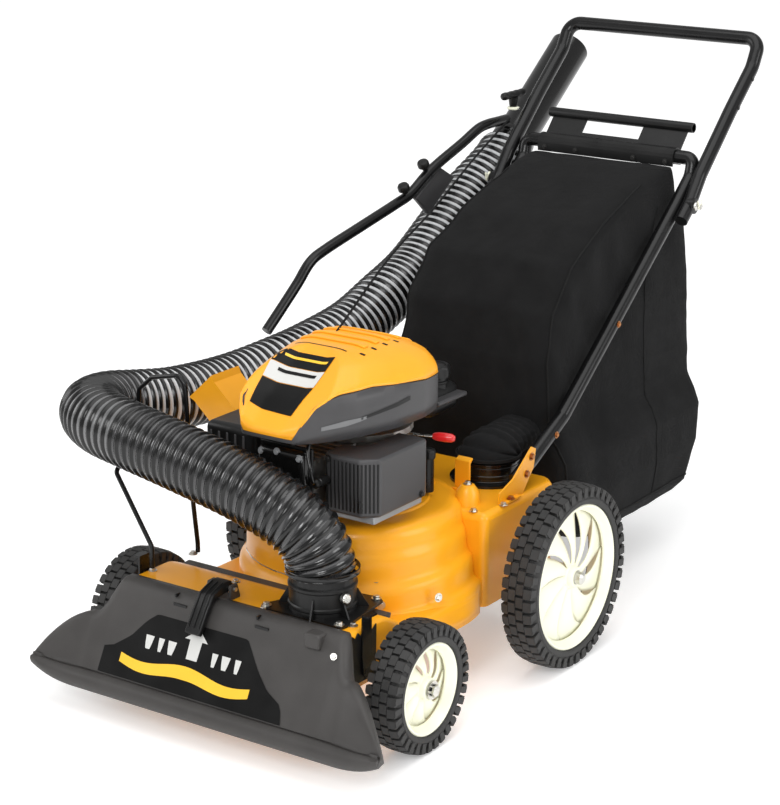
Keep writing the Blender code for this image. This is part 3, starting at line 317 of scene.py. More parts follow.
def rounded_path(pts, radius, seg=8):
    P = [np.array(p, float) for p in pts]
    out = [P[0]]
    for a, b, c in zip(P[:-2], P[1:-1], P[2:]):
        u, v = (a - b) / np.linalg.norm(a - b), (c - b) / np.linalg.norm(c - b)
        ang = math.acos(max(-1, min(1, float(u @ v))))
        if math.pi - ang < math.radians(3):
            out.append(b)
            continue
        d = min(radius / math.tan(ang / 2), 0.45 * np.linalg.norm(a - b), 0.45 * np.linalg.norm(c - b))
        r = d * math.tan(ang / 2)
        ctr = b + (u + v) / np.linalg.norm(u + v) * (r / math.sin(ang / 2))
        s, e = b + u * d - ctr, b + v * d - ctr
        tot = math.acos(max(-1, min(1, float(s @ e) / (r * r))))
        for k in range(seg + 1):
            t = k / seg
            out.append(ctr + (math.sin((1 - t) * tot) * s + math.sin(t * tot) * e) / math.sin(tot))
    out.append(P[-1])
    return out


def frames(path):
    path = np.array(path, float)
    T = np.gradient(path, axis=0)
    T /= np.linalg.norm(T, axis=1)[:, None]
    n = np.cross(T[0], [0.1, 0.2, 1.0])
    n /= np.linalg.norm(n)
    N = [n]
    for i in range(1, len(T)):
        v = N[-1] - T[i] * (N[-1] @ T[i])
        N.append(v / np.linalg.norm(v))
    N = np.array(N)
    return T, N, np.cross(T, N)


def sweep_bm(path, radius, seg=20, caps=True):
    T, N, B = frames(path)
    rings = []
    for k, p in enumerate(path):
        r = radius(k) if callable(radius) else radius
        rings.append([tuple(p + r * (math.cos(a) * N[k] + math.sin(a) * B[k]))
                      for a in [2 * math.pi * i / seg for i in range(seg)]])
    return loft_bm(rings, (caps, caps))


def tube_obj(name, path, r, mat, body="chassis", seg=20, caps=True, smooth=50):
    return mesh_obj(name, sweep_bm(path, r, seg, caps), mat, body, smooth)


def bolts(name, spots, mat, body="chassis", r=0.0055, h=0.004, washer=True):
    """Hexagon heads on washers: spots are (point, outward direction)."""
    bm = bmesh.new()
    for p, d in spots:
        q = Vector(d).normalized().to_track_quat("Z", "Y").to_matrix().to_4x4()
        M = Matrix.Translation(Vector(p)) @ q
        if washer:
            add_lathe(bm, [(0, 0), (r * 1.45, 0), (r * 1.45, 0.0009), (0, 0.0009)], (0, 0, 0), "z", 20, M)
        add_lathe(bm, [(0, 0.0009), (r, 0.0009), (r, h), (r * 0.82, h + 0.0008), (0, h + 0.0008)], (0, 0, 0), "z", 6, M)
    return mesh_obj(name, bm, mat, body, 30)


def keep(node, mat, bev=0.0, seg=2):
    """A CAD node whose shape is right keeps it and gets the finished material."""
    o = frame["nodes"][node]
    o.data.materials.clear()
    o.data.materials.append(mat)
    return o


# ------------------------------------------------------------------ camera
cam = bpy.data.cameras.new("camera")
cam_ob = bpy.data.objects.new("camera", cam)
scene.collection.objects.link(cam_ob)
cam.lens, cam.sensor_width, cam.sensor_fit = 104.0, 36.0, "AUTO"
cam.clip_end = 100
az, el, roll = math.radians(34.714), math.radians(16.84), math.radians(0.156)
fwd = Vector((-math.sin(az) * math.cos(el), math.cos(az) * math.cos(el), -math.sin(el)))
right = Vector((math.cos(az), math.sin(az), 0))
up = right.cross(fwd)
rot = Matrix((right, up, -fwd)).transposed() @ Matrix.Rotation(roll, 3, "Z")
cam_ob.matrix_world = Matrix.Translation((2.0559, -3.0657 + OY, 1.5124)) @ rot.to_4x4()
scene.camera = cam_ob

# ------------------------------------------------------------------ hose (a cord at its real length) and starter rope
WAND_X = -0.2520
route = [(0.1150, -0.4400, 0.2860), (0.1105, -0.4430, 0.3040), (0.0910, -0.4530, 0.3280), (0.0530, -0.4620, 0.3540),
         (-0.0250, -0.4650, 0.3770), (-0.1370, -0.4640, 0.3980), (-0.2350, -0.4590, 0.4120), (-0.3100, -0.4450, 0.4180),
         (-0.3650, -0.4080, 0.4190), (-0.3820, -0.3520, 0.4140), (-0.3720, -0.2900, 0.4040), (-0.3520, -0.2180, 0.3960),
         (-0.3350, -0.1000, 0.3930), (-0.3120, 0.0080, 0.4050), (-0.3000, 0.0870, 0.4160), (-0.2850, 0.1870, 0.4380),
         (-0.2760, 0.2730, 0.4730), (-0.2730, 0.3670, 0.5090), (-0.2720, 0.4720, 0.5710), (-0.2680, 0.5500, 0.6200),
         (-0.2580, 0.6000, 0.6520)]
line = np.vstack([[(0.1150, -0.4400, 0.2605)], catmull(route, 14), [(WAND_X, 0.6310, 0.6735), (WAND_X, 0.6542, 0.6909)]])
line, hose_len = even(line, 0.006)
# the first bend off the port is an even one, as a stiff wall takes it
for _ in range(50):
    line[1:30] = 0.5 * line[1:30] + 0.25 * (line[0:29] + line[2:31])
line, hose_len = even(line, 0.006)
T, N, B = frames(line)
S = np.linspace(0, hose_len, len(line))


def at(s):
    s = min(max(s, 0.0), hose_len)
    c = np.array([np.interp(s, S, line[:, i]) for i in range(3)])
    n = np.array([np.interp(s, S, N[:, i]) for i in range(3)])
    b = np.array([np.interp(s, S, B[:, i]) for i in range(3)])
    return c, n / np.linalg.norm(n), b / np.linalg.norm(b)


def hose_mesh(pitch=0.0150, crest=0.0536, valley=0.0500, seg=44):
    """One helical strip: a rounded bead and the thin clear web beside it, turn after turn."""
    prof = [(0.00, 0.0), (0.10, 0.55), (0.20, 0.90), (0.30, 1.0), (0.40, 0.90), (0.50, 0.55), (0.60, 0.0), (0.80, -0.08)]
    turns = int(hose_len / pitch) + 1
    bm = bmesh.new()
    cols = []
    for k in range(-seg, turns * seg + 1):
        ang = 2 * math.pi * k / seg
        col = []
        for ph, h in prof + [(1.0, 0.0)]:
            s = (k / seg + ph) * pitch
            c, n, b = at(s)
            # the hose is squeezed where it turns down to the port
            g = 1.0 if s > 0.03 else 0.6 + 0.4 * max(0.0, s) / 0.03
            r = valley + (crest - valley) * h * g
            if s <= 0.0015 or s >= hose_len - 0.0015:
                r = valley
            col.append(bm.verts.new(c + r * (math.cos(ang) * n + math.sin(ang) * b)))
        cols.append((k, col))
    for (k, a), (_, b) in zip(cols[:-1], cols[1:]):
        for j in range(len(prof)):
            f = bm.faces.new((a[j], b[j], b[j + 1], a[j + 1]))
            s = (k / seg + prof[j][0] + 0.05) * pitch
            if j < 6:
                f.material_index = 0
            else:
                # the web's tone is painted light and shade along the one clear web: painted shade on the front leg up
                # to 0.42 m, painted half shade on the bend up to 0.66 m, painted light on the return leg
                f.material_index = 1 if s < 0.42 else 3 if s < 0.66 else 2
    bmesh.ops.remove_doubles(bm, verts=bm.verts[:], dist=0.00005)
    return bm


def clear_web(name, rgb, trans=0.0, rough=0.25):
    m = surface(name, rgb, rough, 0, 600, 0.05, 0.10, 40, 0.05, coat=0.5)
    m.node_tree.nodes["Principled BSDF"].inputs["Transmission Weight"].default_value = trans
    return m


# three copies of the one clear web: painted shade for the front leg, painted half shade for the bend, painted light for
# the return leg
WEB_PAINTED_SHADE = clear_web("hose_web_painted_shade", (0.022, 0.022, 0.023))
WEB_PAINTED_HALF_SHADE = clear_web("hose_web_painted_half_shade", (0.120, 0.120, 0.122))
WEB_PAINTED_LIGHT = clear_web("hose_web_painted_light", (0.50, 0.51, 0.52), 0.0, 0.28)
hose = mesh_obj("vac_hose_ribbed", hose_mesh(), [BLACK_G, WEB_PAINTED_SHADE, WEB_PAINTED_LIGHT, WEB_PAINTED_HALF_SHADE], smooth=60, normals=True)
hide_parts("vac_hose")

rope_pts = catmull([(-0.0300, -0.2050, 0.5560), (-0.0800, 0.0150, 0.6280), (-0.1300, 0.2200, 0.6680), (-0.1800, 0.4250, 0.7180),
                    (-0.2170, 0.6050, 0.7620)], 24)
rope_line, rope_len = even(rope_pts, 0.006)
# three laid strands
def rope_bm(path, r):
    T2, N2, B2 = frames(path)
    bm = bmesh.new()
    s = np.concatenate([[0], np.cumsum(np.linalg.norm(np.diff(path, axis=0), axis=1))])
    for k3 in range(3):
        rings = []
        for i, p in enumerate(path):
            a = 2 * math.pi * (k3 / 3 + s[i] / 0.016)
            c = p + 0.48 * r * (math.cos(a) * N2[i] + math.sin(a) * B2[i])
            rings.append([c + 0.55 * r * (math.cos(t) * N2[i] + math.sin(t) * B2[i]) for t in [2 * math.pi * j / 6 for j in range(6)]])
        vr = [[bm.verts.new(v) for v in ring] for ring in rings]
        for a2, b2 in zip(vr[:-1], vr[1:]):
            for j in range(6):
                bm.faces.new((a2[j], a2[(j + 1) % 6], b2[(j + 1) % 6], b2[j]))
        bm.faces.new(vr[0])
        bm.faces.new(vr[-1])
    return bm


fine, _ = even(rope_line, 0.0016)
me = bpy.data.meshes.new("starter_rope_laid")
bm = rope_bm(fine, 0.0021)
bmesh.ops.recalc_face_normals(bm, faces=bm.faces[:])
bm.to_mesh(me)
bm.free()
me.transform(Matrix.Translation((0, OY, 0)))
me.materials.append(WEB)
me.shade_smooth()
rope = bpy.data.objects.new("starter_rope_laid", me)
scene.collection.objects.link(rope)
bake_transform(rope)
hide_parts("starter_rope")

# ------------------------------------------------------------------ deck: front plate, pressed scroll, rear box
def shell_bm(outline, z0, z1, r_top=0.0):
    """Open-bottomed tray: outline in plan, turned down at its edge."""
    n = len(outline)
    cx, cy = sum(p[0] for p in outline) / n, sum(p[1] for p in outline) / n
    bm = bmesh.new()
    low = [bm.verts.new((x, y, z0)) for x, y in outline]
    top = [bm.verts.new((x, y, z1)) for x, y in outline]
    for i in range(n):
        j = (i + 1) % n
        bm.faces.new((low[i], low[j], top[j], top[i]))
    bm.faces.new(top)
    return bm


def shell_obj(name, outline, z0, z1, mat, bev=0.008, body="chassis", thick=0.003):
    ob = mesh_obj(name, shell_bm(outline, z0, z1), mat, body, normals=True)
    b = ob.modifiers.new("edge", "BEVEL")
    b.width, b.segments, b.limit_method, b.angle_limit = bev, 4, "ANGLE", math.radians(40)
    s = ob.modifiers.new("sheet", "SOLIDIFY")
    s.thickness, s.offset = thick, -1
    return ob




def tray_bm():
    """Flat behind the nozzle, with turned-down sides; it sweeps down into the lower step of the scroll."""
    rings = []
    for y in list(np.linspace(-0.5150, -0.4300, 6)) + list(np.linspace(-0.4200, -0.3200, 16)) + list(np.linspace(-0.3100, -0.1300, 16)):
        t = min(1.0, max(0.0, (y + 0.4250) / 0.1050))
        t = t * t * (3 - 2 * t)
        z1 = 0.2000 - 0.0440 * t
        w = 0.2100 - 0.0022 * min(1.0, max(0.0, (y + 0.40) / 0.20))
        if y > -0.19:
            w = math.sqrt(max(0.0, 0.2078 ** 2 - (y + 0.19) ** 2))
        r = 0.0070 + 0.0050 * t
        side = [(w, 0.1100), (w + 0.0 * t, 0.1280), (w, z1 - r), (w - 0.10 * r, z1 - 0.62 * r), (w - 0.35 * r, z1 - 0.30 * r), (w - 0.70 * r, z1 - 0.08 * r), (w - 1.2 * r, z1),
                (w * 0.75, z1), (w * 0.4, z1)]
        rings.append([(x, y, z) for x, z in side] + [(0.0, y, z1)] + [(-x, y, z) for x, z in reversed(side)])
    return loft_bm(rings, (True, False), closed=False)


front_plate = mesh_obj("deck_front_plate", tray_bm(), YELLOW, smooth=50)
s = front_plate.modifiers.new("sheet", "SOLIDIFY")
s.thickness, s.offset = 0.003, -1
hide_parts("deck_housing")
rear_shell = shell_obj("deck_rear_box", [(-0.2000, -0.1200), (0.2000, -0.1200), (0.2000, 0.0900), (0.1780, 0.1120), (-0.1780, 0.1120),
                                         (-0.2000, 0.0900)], 0.1150, 0.2720, YELLOW, 0.012)


def scroll_bm(seg=120):
    """The fan housing: two steps pressed round it, which rise towards the outlet side."""
    prof = [(0.2065, 0.1200, 0.0), (0.2068, 0.1300, 0.2), (0.2066, 0.1440, 0.5), (0.2058, 0.1500, 0.8), (0.2030, 0.1545, 1), (0.1985, 0.1575, 1),
            (0.1945, 0.1605, 1), (0.1922, 0.1650, 1), (0.1915, 0.1740, 1), (0.1912, 0.1860, 1), (0.1900, 0.1945, 1), (0.1865, 0.1995, 1), (0.1828, 0.2030, 1),
            (0.1800, 0.2080, 1), (0.1788, 0.2150, 1), (0.1785, 0.2240, 0.9), (0.1780, 0.2340, 0.8), (0.1762, 0.2420, 0.7), (0.1735, 0.2475, 0.6), (0.1712, 0.2520, 0.5),
            (0.1700, 0.2600, 0.4), (0.1690, 0.2690, 0.3), (0.1665, 0.2770, 0.2), (0.1610, 0.2835, 0.0), (0.1550, 0.2870, 0.0), (0.1450, 0.2880, 0.0),
            (0.1200, 0.2880, 0.0), (0.0, 0.2880, 0.0)]
    bm = bmesh.new()
    rings = []
    for r, z, w in prof:
        ring = []
        for i in range(1 if r == 0 else seg):
            a = 2 * math.pi * i / seg
            rise = 0.0130 * w * math.sin(a + 0.35) * (1 - (z - 0.15) / 0.2)
            ring.append(bm.verts.new((r * math.cos(a), CRANK_Y + r * math.sin(a), z + (rise if 0.14 < z < 0.27 else 0.0))))
        rings.append(ring)
    for a, b in zip(rings[:-1], rings[1:]):
        for i in range(seg):
            j = (i + 1) % seg
            if len(b) == 1:
                bm.faces.new((a[i], a[j], b[0]))
            else:
                bm.faces.new((a[i], a[j], b[j], b[i]))
    return bm


scroll = mesh_obj("deck_scroll", scroll_bm(), YELLOW, smooth=60)
s = scroll.modifiers.new("sheet", "SOLIDIFY")
s.thickness, s.offset = 0.003, -1
# mating ledge below the engine, and two pressed lugs by the outlet
ledge = lathe_obj("deck_engine_pad", [(0.0, 0.2880), (0.1180, 0.2880), (0.1150, 0.2905), (0.0, 0.2905)], (0, CRANK_Y, 0), YELLOW, seg=72)
for i, (x, y, r, h) in enumerate(((0.1440, -0.0860, 0.020, 0.040), (0.0560, -0.0760, 0.017, 0.034))):
    lug = lathe_obj("deck_lug_%d" % (i + 1), [(r * 1.15, 0.2560), (r, 0.2720), (r * 0.92, 0.272 + h * 0.55), (r * 0.55, 0.272 + h * 0.8),
                                              (0, 0.272 + h * 0.86)], (x, y, 0), YELLOW, seg=36)
db = bolts("deck_bolts", [((0.196, -0.060, 0.2725), (0, 0, 1)), ((0.172, -0.112, 0.2725), (0, 0, 1)), ((0.045, -0.4960, 0.2003), (0, 0, 1)),
                          ((-0.060, -0.4300, 0.2003), (0, 0, 1)), ((-0.1980, -0.4660, 0.2003), (0, 0, 1)), ((-0.1930, -0.3720, 0.2003), (0, 0, 1)),
                          ((0.1925, -0.4700, 0.2003), (0, 0, 1)), ((0.1975, -0.2500, 0.1750), (0.95, -0.30, 0.1)),
                          ((0.1430, -0.3280, 0.1750), (0.72, -0.69, 0.1)), ((0.1440, -0.0860, 0.3055), (0, 0, 1))], ZINC, r=0.0050)
keep("impeller_inlet_plate", ZINC)
keep("duct_floor", YELLOW)

# ------------------------------------------------------------------ front nozzle hood
HALF, LIPY = 0.3330, -0.6100


def hood_line(x, n=30):
    """Outline across the hood at x: flat body between the marks, domed wing outside them, rolled lip along the ground."""
    ax = abs(x)
    t = min(1.0, max(0.0, (ax - 0.2080) / 0.0330))
    t = t * t * (3 - 2 * t)
    w = min(1.0, max(0.0, (ax - 0.2450) / (HALF - 0.2450)))
    main = [(-0.5010, 0.2045), (-0.5090, 0.2048), (-0.5180, 0.2030), (-0.5265, 0.1965), (-0.5330, 0.1850), (-0.5440, 0.1660), (-0.5560, 0.1450),
            (-0.5680, 0.1215), (-0.5800, 0.0980), (-0.5895, 0.0790), (-0.5932, 0.0722), (-0.5918, 0.0692), (-0.6025, 0.0668), (-0.6085, 0.0605),
            (-0.6100, 0.0510), (-0.6080, 0.0430), (-0.6040, 0.0402)]
    lift = 0.0200 * w ** 2.5
    h = 0.1500 - 0.0740 * w ** 1.8
    rear = -0.5280 - 0.0620 * w ** 1.0
    cy = rear - 0.0220 + 0.0150 * w
    fy, fz = cy - 0.0140 + 0.0110 * w, h - 0.0080 + 0.0060 * w
    ly = -0.5960 - 0.0080 * w
    k = 1 - 0.62 * w ** 2
    wing = [(rear, h - 0.0140), (rear - 0.0030, h - 0.0060), (rear - 0.0080 + 0.0050 * w, h - 0.0025), ((rear - 0.0080 + cy) / 2, h - 0.0006),
            (cy, h - 0.0002), (cy - 0.006 * k, h - 0.0020 * k), (fy, fz), (fy + (ly - fy) * 0.28, fz + (0.066 - fz) * 0.24),
            (fy + (ly - fy) * 0.54, fz + (0.066 - fz) * 0.50), (fy + (ly - fy) * 0.80, fz + (0.066 - fz) * 0.78),
            (ly + 0.0015, 0.0730 + lift * 0.2), (ly + 0.0030, 0.0692 + lift * 0.3), (-0.6045, 0.0660 + lift * 0.4), (-0.6090, 0.0595 + lift * 0.7),
            (-0.6098, 0.0500 + lift), (-0.6080, 0.0430 + lift), (-0.6040, 0.0402 + lift)]
    return [((1 - t) * a[0] + t * b[0], (1 - t) * a[1] + t * b[1]) for a, b in zip(main, wing)]


def hood_face(x, u):
    """A point on the sloping face: u = 0 at its top edge, 1 at the lip."""
    pts = [(-0.5330, 0.1850), (-0.5440, 0.1660), (-0.5560, 0.1450), (-0.5680, 0.1215), (-0.5800, 0.0980), (-0.5900, 0.0790), (-0.5945, 0.0700)]
    d = [0]
    for a, b in zip(pts[:-1], pts[1:]):
        d.append(d[-1] + math.hypot(b[0] - a[0], b[1] - a[1]))
    s = u * d[-1]
    return np.interp(s, d, [p[0] for p in pts]), np.interp(s, d, [p[1] for p in pts])


hx = sorted(set([round(v, 4) for v in list(np.linspace(-0.2080, 0.2080, 25)) + [s_ * v for s_ in (1, -1) for v in
            (0.2110, 0.2150, 0.2200, 0.2250, 0.2300, 0.2350, 0.2400, 0.2450, 0.2520, 0.2600, 0.2700, 0.2800, 0.2900, 0.3000, 0.3090, 0.3170,
             0.3230, 0.3275, 0.3305, 0.3322)]]))
rings = [[(x, y, z) for y, z in hood_line(x)] for x in hx]
bm = loft_bm(rings, (False, False), closed=False)
bm.faces.ensure_lookup_table()
# close the two tips
bm.verts.ensure_lookup_table()
npt = len(rings[0])
for base, sx in ((0, -1), ((len(hx) - 1) * npt, 1)):
    bm.faces.new([bm.verts[base + i] for i in range(npt)])
hood = mesh_obj("nozzle_hood", bm, GREY, smooth=48)
s = hood.modifiers.new("wall", "SOLIDIFY")
s.thickness, s.offset = 0.0030, -1
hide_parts("front_nozzle_hood")

def on_face(x, u, off):
    y, z = hood_face(x, u)
    y2, z2 = hood_face(x, min(1, u + 0.02))
    y1, z1 = hood_face(x, max(0, u - 0.02))
    ty, tz = y2 - y1, z2 - z1
    ln = math.hypot(ty, tz)
    return (x, y + tz / ln * off, z - ty / ln * off)


def face_patch(name, outline, mat, off=0.0008, nx=60, nu=16):
    """A thin label cut to an outline in (x, u) and laid on the sloping face."""
    bm = bmesh.new()
    xs = [p[0] for p in outline]
    x0, x1 = min(xs), max(xs)
    cols = []
    for i in range(nx + 1):
        x = x0 + (x1 - x0) * i / nx
        ys = []
        for a, b in zip(outline, outline[1:] + outline[:1]):
            if min(a[0], b[0]) - 1e-9 <= x <= max(a[0], b[0]) + 1e-9 and abs(a[0] - b[0]) > 1e-9:
                ys.append(a[1] + (b[1] - a[1]) * (x - a[0]) / (b[0] - a[0]))
        lo_, hi_ = min(ys), max(ys)
        cols.append([bm.verts.new(on_face(x, lo_ + (hi_ - lo_) * j / nu, off)) for j in range(nu + 1)])
    for a, b in zip(cols[:-1], cols[1:]):
        for j in range(nu):
            try:
                bm.faces.new((a[j], b[j], b[j + 1], a[j + 1]))
            except ValueError:
                pass
    bmesh.ops.remove_doubles(bm, verts=bm.verts[:], dist=1e-6)
    ob = mesh_obj(name, bm, mat)
    return ob


LABEL = surface("label_black", (0.0060, 0.0060, 0.0060), 0.34, 0, 900, 0.05, 0.2, 20, 0.05, spec=0.15)
LABEL_Y = surface("label_yellow", (0.90, 0.52, 0.03), 0.35, 0, 900, 0.05, 0.03, 20, 0.05)
panel = [(-0.2060, 0.66), (-0.1880, 0.62), (-0.1600, 0.46), (-0.1380, 0.24), (-0.1220, 0.14), (0.0520, 0.14), (0.0650, 0.26), (0.0860, 0.46), (0.1100, 0.64),
         (0.1400, 0.76), (0.1480, 0.97), (-0.2060, 0.97)]
p1 = face_patch("nozzle_label", panel, LABEL, 0.0006)
band = []
for i in range(25):
    x = -0.1700 + 0.2500 * i / 24
    band.append((x, 0.68 + 0.045 * math.sin(i / 24 * 2 * math.pi * 1.5)))
p2 = face_patch("nozzle_label_band", band + [(x, u + 0.16 - 0.05 * abs((x + 0.045) / 0.125)) for x, u in reversed(band)], LABEL_Y, 0.0012, 80, 3)
p3 = face_patch("nozzle_label_arrow", [(-0.0600, 0.32), (-0.0380, 0.18), (-0.0160, 0.32), (-0.0270, 0.321), (-0.0270, 0.55), (-0.0490, 0.55), (-0.0490, 0.321)],
                WHITE, 0.0012, 46, 6)
k = 0
for x in (-0.1240, -0.1010, -0.0800, 0.0030, 0.0240, 0.0470):
    wv = 0.0055 if k % 2 else 0.0080
    q = face_patch("nozzle_label_mark_%d" % k, [(x - wv, 0.40), (x + wv, 0.40), (x + wv * 0.6, 0.56), (x - wv * 0.6, 0.56)], WHITE, 0.0012, 8, 3)
    k += 1
# pressed marks and the raised keeper on the right shoulder
for i, (x, sx) in enumerate(((-0.1010, 1), (0.0560, 1))):
    for j, (a, b_) in enumerate((((x, -0.5190), (x + 0.0035, -0.5290)), ((x, -0.5300), (x + 0.0260, -0.5325)))):
        zz = 0.2020 if j == 0 else 0.1875
        m_ = box_obj("hood_mark_%d_%d" % (i, j), (a[0], b_[0], b_[1], a[1], zz - 0.004, zz + (0.0012 if j == 0 else 0.0030)), BLACK_P, bev=0.0006)
kp = box_obj("hood_keeper", (0.1530, 0.1810, -0.5400, -0.5170, 0.1800, 0.2040), GREY, bev=0.004, seg=3)
hs = bolts("hood_screws", [((0.2090, -0.5420, 0.1800), (0.5, -0.7, 0.5))], ZINC, r=0.0035)

# ------------------------------------------------------------------ mode lever, bracket, diverter
keep("mode_lever_bracket", GREY)
lv = prism_obj("mode_lever_grip", [(-0.4790, 0.2205), (-0.4830, 0.2275), (-0.4960, 0.2280), (-0.5100, 0.2240), (-0.5290, 0.2165), (-0.5450, 0.1940),
                                   (-0.5640, 0.1640), (-0.5570, 0.1590), (-0.5240, 0.2080), (-0.4960, 0.2110), (-0.4840, 0.2110)],
               "x", -0.0545, -0.0255, BLACK_P, "mode_lever", 0.0022, 3)
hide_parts("mode_lever")
for i, x in enumerate((-0.0500, -0.0400, -0.0300)):
    rb = prism_obj("mode_lever_rib_%d" % i, [(-0.4990, 0.2285), (-0.5120, 0.2248), (-0.5290, 0.2185), (-0.5455, 0.1965), (-0.5600, 0.1730),
                                             (-0.5560, 0.1700), (-0.5270, 0.2120), (-0.4990, 0.2200)], "x", x - 0.0014, x + 0.0014, BLACK_P, "mode_lever", 0.0006, 2)
pin = lathe_obj("mode_lever_pin", [(0, -0.0670), (0.0033, -0.0670), (0.0033, -0.0130), (0, -0.0130)], (0, -0.4880, 0.2170), ZINC, "x", 20, "mode_lever")
keep("diverter_door", GREY)

# ------------------------------------------------------------------ hose port, band, hose rest
keep("hose_port", BLACK_P)
ring = lathe_obj("hose_port_rings", [(0.0515, 0.2100), (0.0530, 0.2120), (0.0530, 0.2160), (0.0515, 0.2180), (0.0515, 0.2400), (0.0530, 0.2420),
                                     (0.0530, 0.2460), (0.0505, 0.2480), (0.0480, 0.2480), (0.0480, 0.2100)], (0.115, -0.440, 0), BLACK_P, seg=56, closed=True)
bd = lathe_obj("hose_band_steel", [(0.0552, 0.2612), (0.0566, 0.2610), (0.0572, 0.2618), (0.0566, 0.2628), (0.0566, 0.2682), (0.0572, 0.2692),
                                   (0.0566, 0.2700), (0.0552, 0.2698)], (0.115, -0.440, 0), BLACK_G, seg=56, closed=True)
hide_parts("hose_band")
pb = bolts("hose_port_bolts", [((0.0440, -0.4870, 0.2050), (0, 0, 1)), ((0.1800, -0.4880, 0.2050), (0, 0, 1)), ((0.1640, -0.3700, 0.2050), (0, 0, 1)),
                               ((0.0890, -0.3740, 0.2050), (0, 0, 1))], ZINC, r=0.0055)
pk = lathe_obj("hose_port_knob", [(0, 0.0), (0.0060, 0.0), (0.0060, 0.0080), (0.0105, 0.0090), (0.0105, 0.0180), (0.0080, 0.0205), (0, 0.0205)],
               (0, 0, 0), ZINC, "z", 24, M=Matrix.Translation((0.1600, -0.4550, 0.2330)) @ Matrix.Scale(0.75, 4) @ Vector((0.9, -0.25, 0.1)).to_track_quat("Z", "Y").to_matrix().to_4x4())
for i, a in enumerate((-70, -20, 35, 120, 200)):
    c, sn = math.cos(math.radians(a)), math.sin(math.radians(a))
    M = Matrix.Translation((0.115, -0.440, 0)) @ Matrix.Rotation(math.radians(a), 4, "Z")
    g = prism_obj("hose_port_web_%d" % i, [(0.0490, 0.2048), (0.0700, 0.2048), (0.0530, 0.2330), (0.0490, 0.2330)], "y", -0.0013, 0.0013, BLACK_P, bev=0, M=M)
wire = rounded_path([(-0.1980, -0.4660, 0.2003), (-0.1980, -0.4660, 0.2400), (-0.2930, -0.4380, 0.3380), (-0.2960, -0.3820, 0.3780),
                     (-0.2880, -0.3820, 0.4620), (-0.2600, -0.3820, 0.4860), (-0.2060, -0.3820, 0.4980), (-0.1930, -0.3820, 0.4850),
                     (-0.1850, -0.3800, 0.3000), (-0.1930, -0.3600, 0.2150), (-0.1930, -0.3600, 0.2003)], 0.012, 6)
wr = tube_obj("hose_rest_wire_round", wire, 0.0038, TUBE, seg=16)
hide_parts("hose_rest_wire")

# ------------------------------------------------------------------ wand, rail, saddle, knobs
w0, w1 = Vector((WAND_X, 0.6550, 0.6915)), Vector((WAND_X, 0.8800, 0.8600))
WM = Matrix.Translation(w0) @ (w1 - w0).normalized().to_track_quat("Z", "Y").to_matrix().to_4x4()
wl = (w1 - w0).length
wand = lathe_obj("wand_tube", [(0.0340, 0.0), (0.0415, 0.0), (0.0420, 0.0015), (0.0420, 0.0100), (0.0405, 0.0115), (0.0405, 0.0150), (0.0420, 0.0165),
                               (0.0420, 0.0285), (0.0412, 0.0300), (0.0385, 0.0325), (0.0380, 0.0360), (0.0380, wl - 0.012), (0.0380, wl - 0.001),
                               (0.0372, wl), (0.0350, wl), (0.0340, wl - 0.002)], (0, 0, 0), BLACK_G, "z", 64, M=WM, closed=True)
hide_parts("hose_wand")
rail = np.vstack([catmull([(-0.3200, -0.0100, 0.4700), (-0.3140, 0.0285, 0.5063), (-0.3080, 0.0636, 0.5411), (-0.3020, 0.0925, 0.5738),
                           (-0.2970, 0.1290, 0.5900), (-0.2880, 0.2242, 0.6154), (-0.2800, 0.3243, 0.6408), (-0.2770, 0.3669, 0.6536),
                           (-0.2720, 0.4275, 0.6887), (-0.2640, 0.5137, 0.7234), (-0.2580, 0.5600, 0.7447), (-0.2540, 0.5883, 0.7505),
                           (WAND_X, 0.6167, 0.7512)], 8), [(WAND_X, 0.6490, 0.7512)]])
rl = tube_obj("hose_rail_round", rail, 0.0095, TUBE, seg=20)
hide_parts("hose_rail")
sd = prism_obj("rail_saddle_plate", [(0.3730, 0.6430), (0.4330, 0.6770), (0.4560, 0.6870), (0.5020, 0.6620), (0.4170, 0.6060)], "x", -0.2800, -0.2700,
               GREY2, bev=0.003, seg=3)
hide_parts("rail_saddle")
for i, (y, z) in enumerate(((0.3500, 0.6490), (0.4130, 0.6820))):
    kb = lathe_obj("rail_knob_%d_round" % (i + 1), [(0, 0.0105), (0.0050, 0.0105), (0.0050, 0.0150), (0.0095, 0.0165), (0.0110, 0.0180), (0.0110, 0.0250),
                                              (0.0095, 0.0280), (0.0060, 0.0290), (0, 0.0290)], (0, 0, 0), BLACK_P, "z", 24,
                   M=Matrix.Translation((-0.2745, y, z)) @ Matrix.Rotation(math.radians(29), 4, "X"))
    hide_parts("rail_knob_%d" % (i + 1))

# ------------------------------------------------------------------ branch chute
keep("chipper_chute", YELLOW)
fl = box_obj("chipper_chute_flange", (-0.1720, -0.0900, -0.2960, -0.2040, 0.2882, 0.2902), YELLOW, bev=0.0008)
cb = bolts("chipper_chute_bolts", [((-0.1660, -0.2900, 0.2902), (0, 0, 1)), ((-0.0960, -0.2900, 0.2902), (0, 0, 1)), ((-0.1660, -0.2100, 0.2902), (0, 0, 1)),
                                   ((-0.0960, -0.2100, 0.2902), (0, 0, 1))], ZINC, r=0.0042)

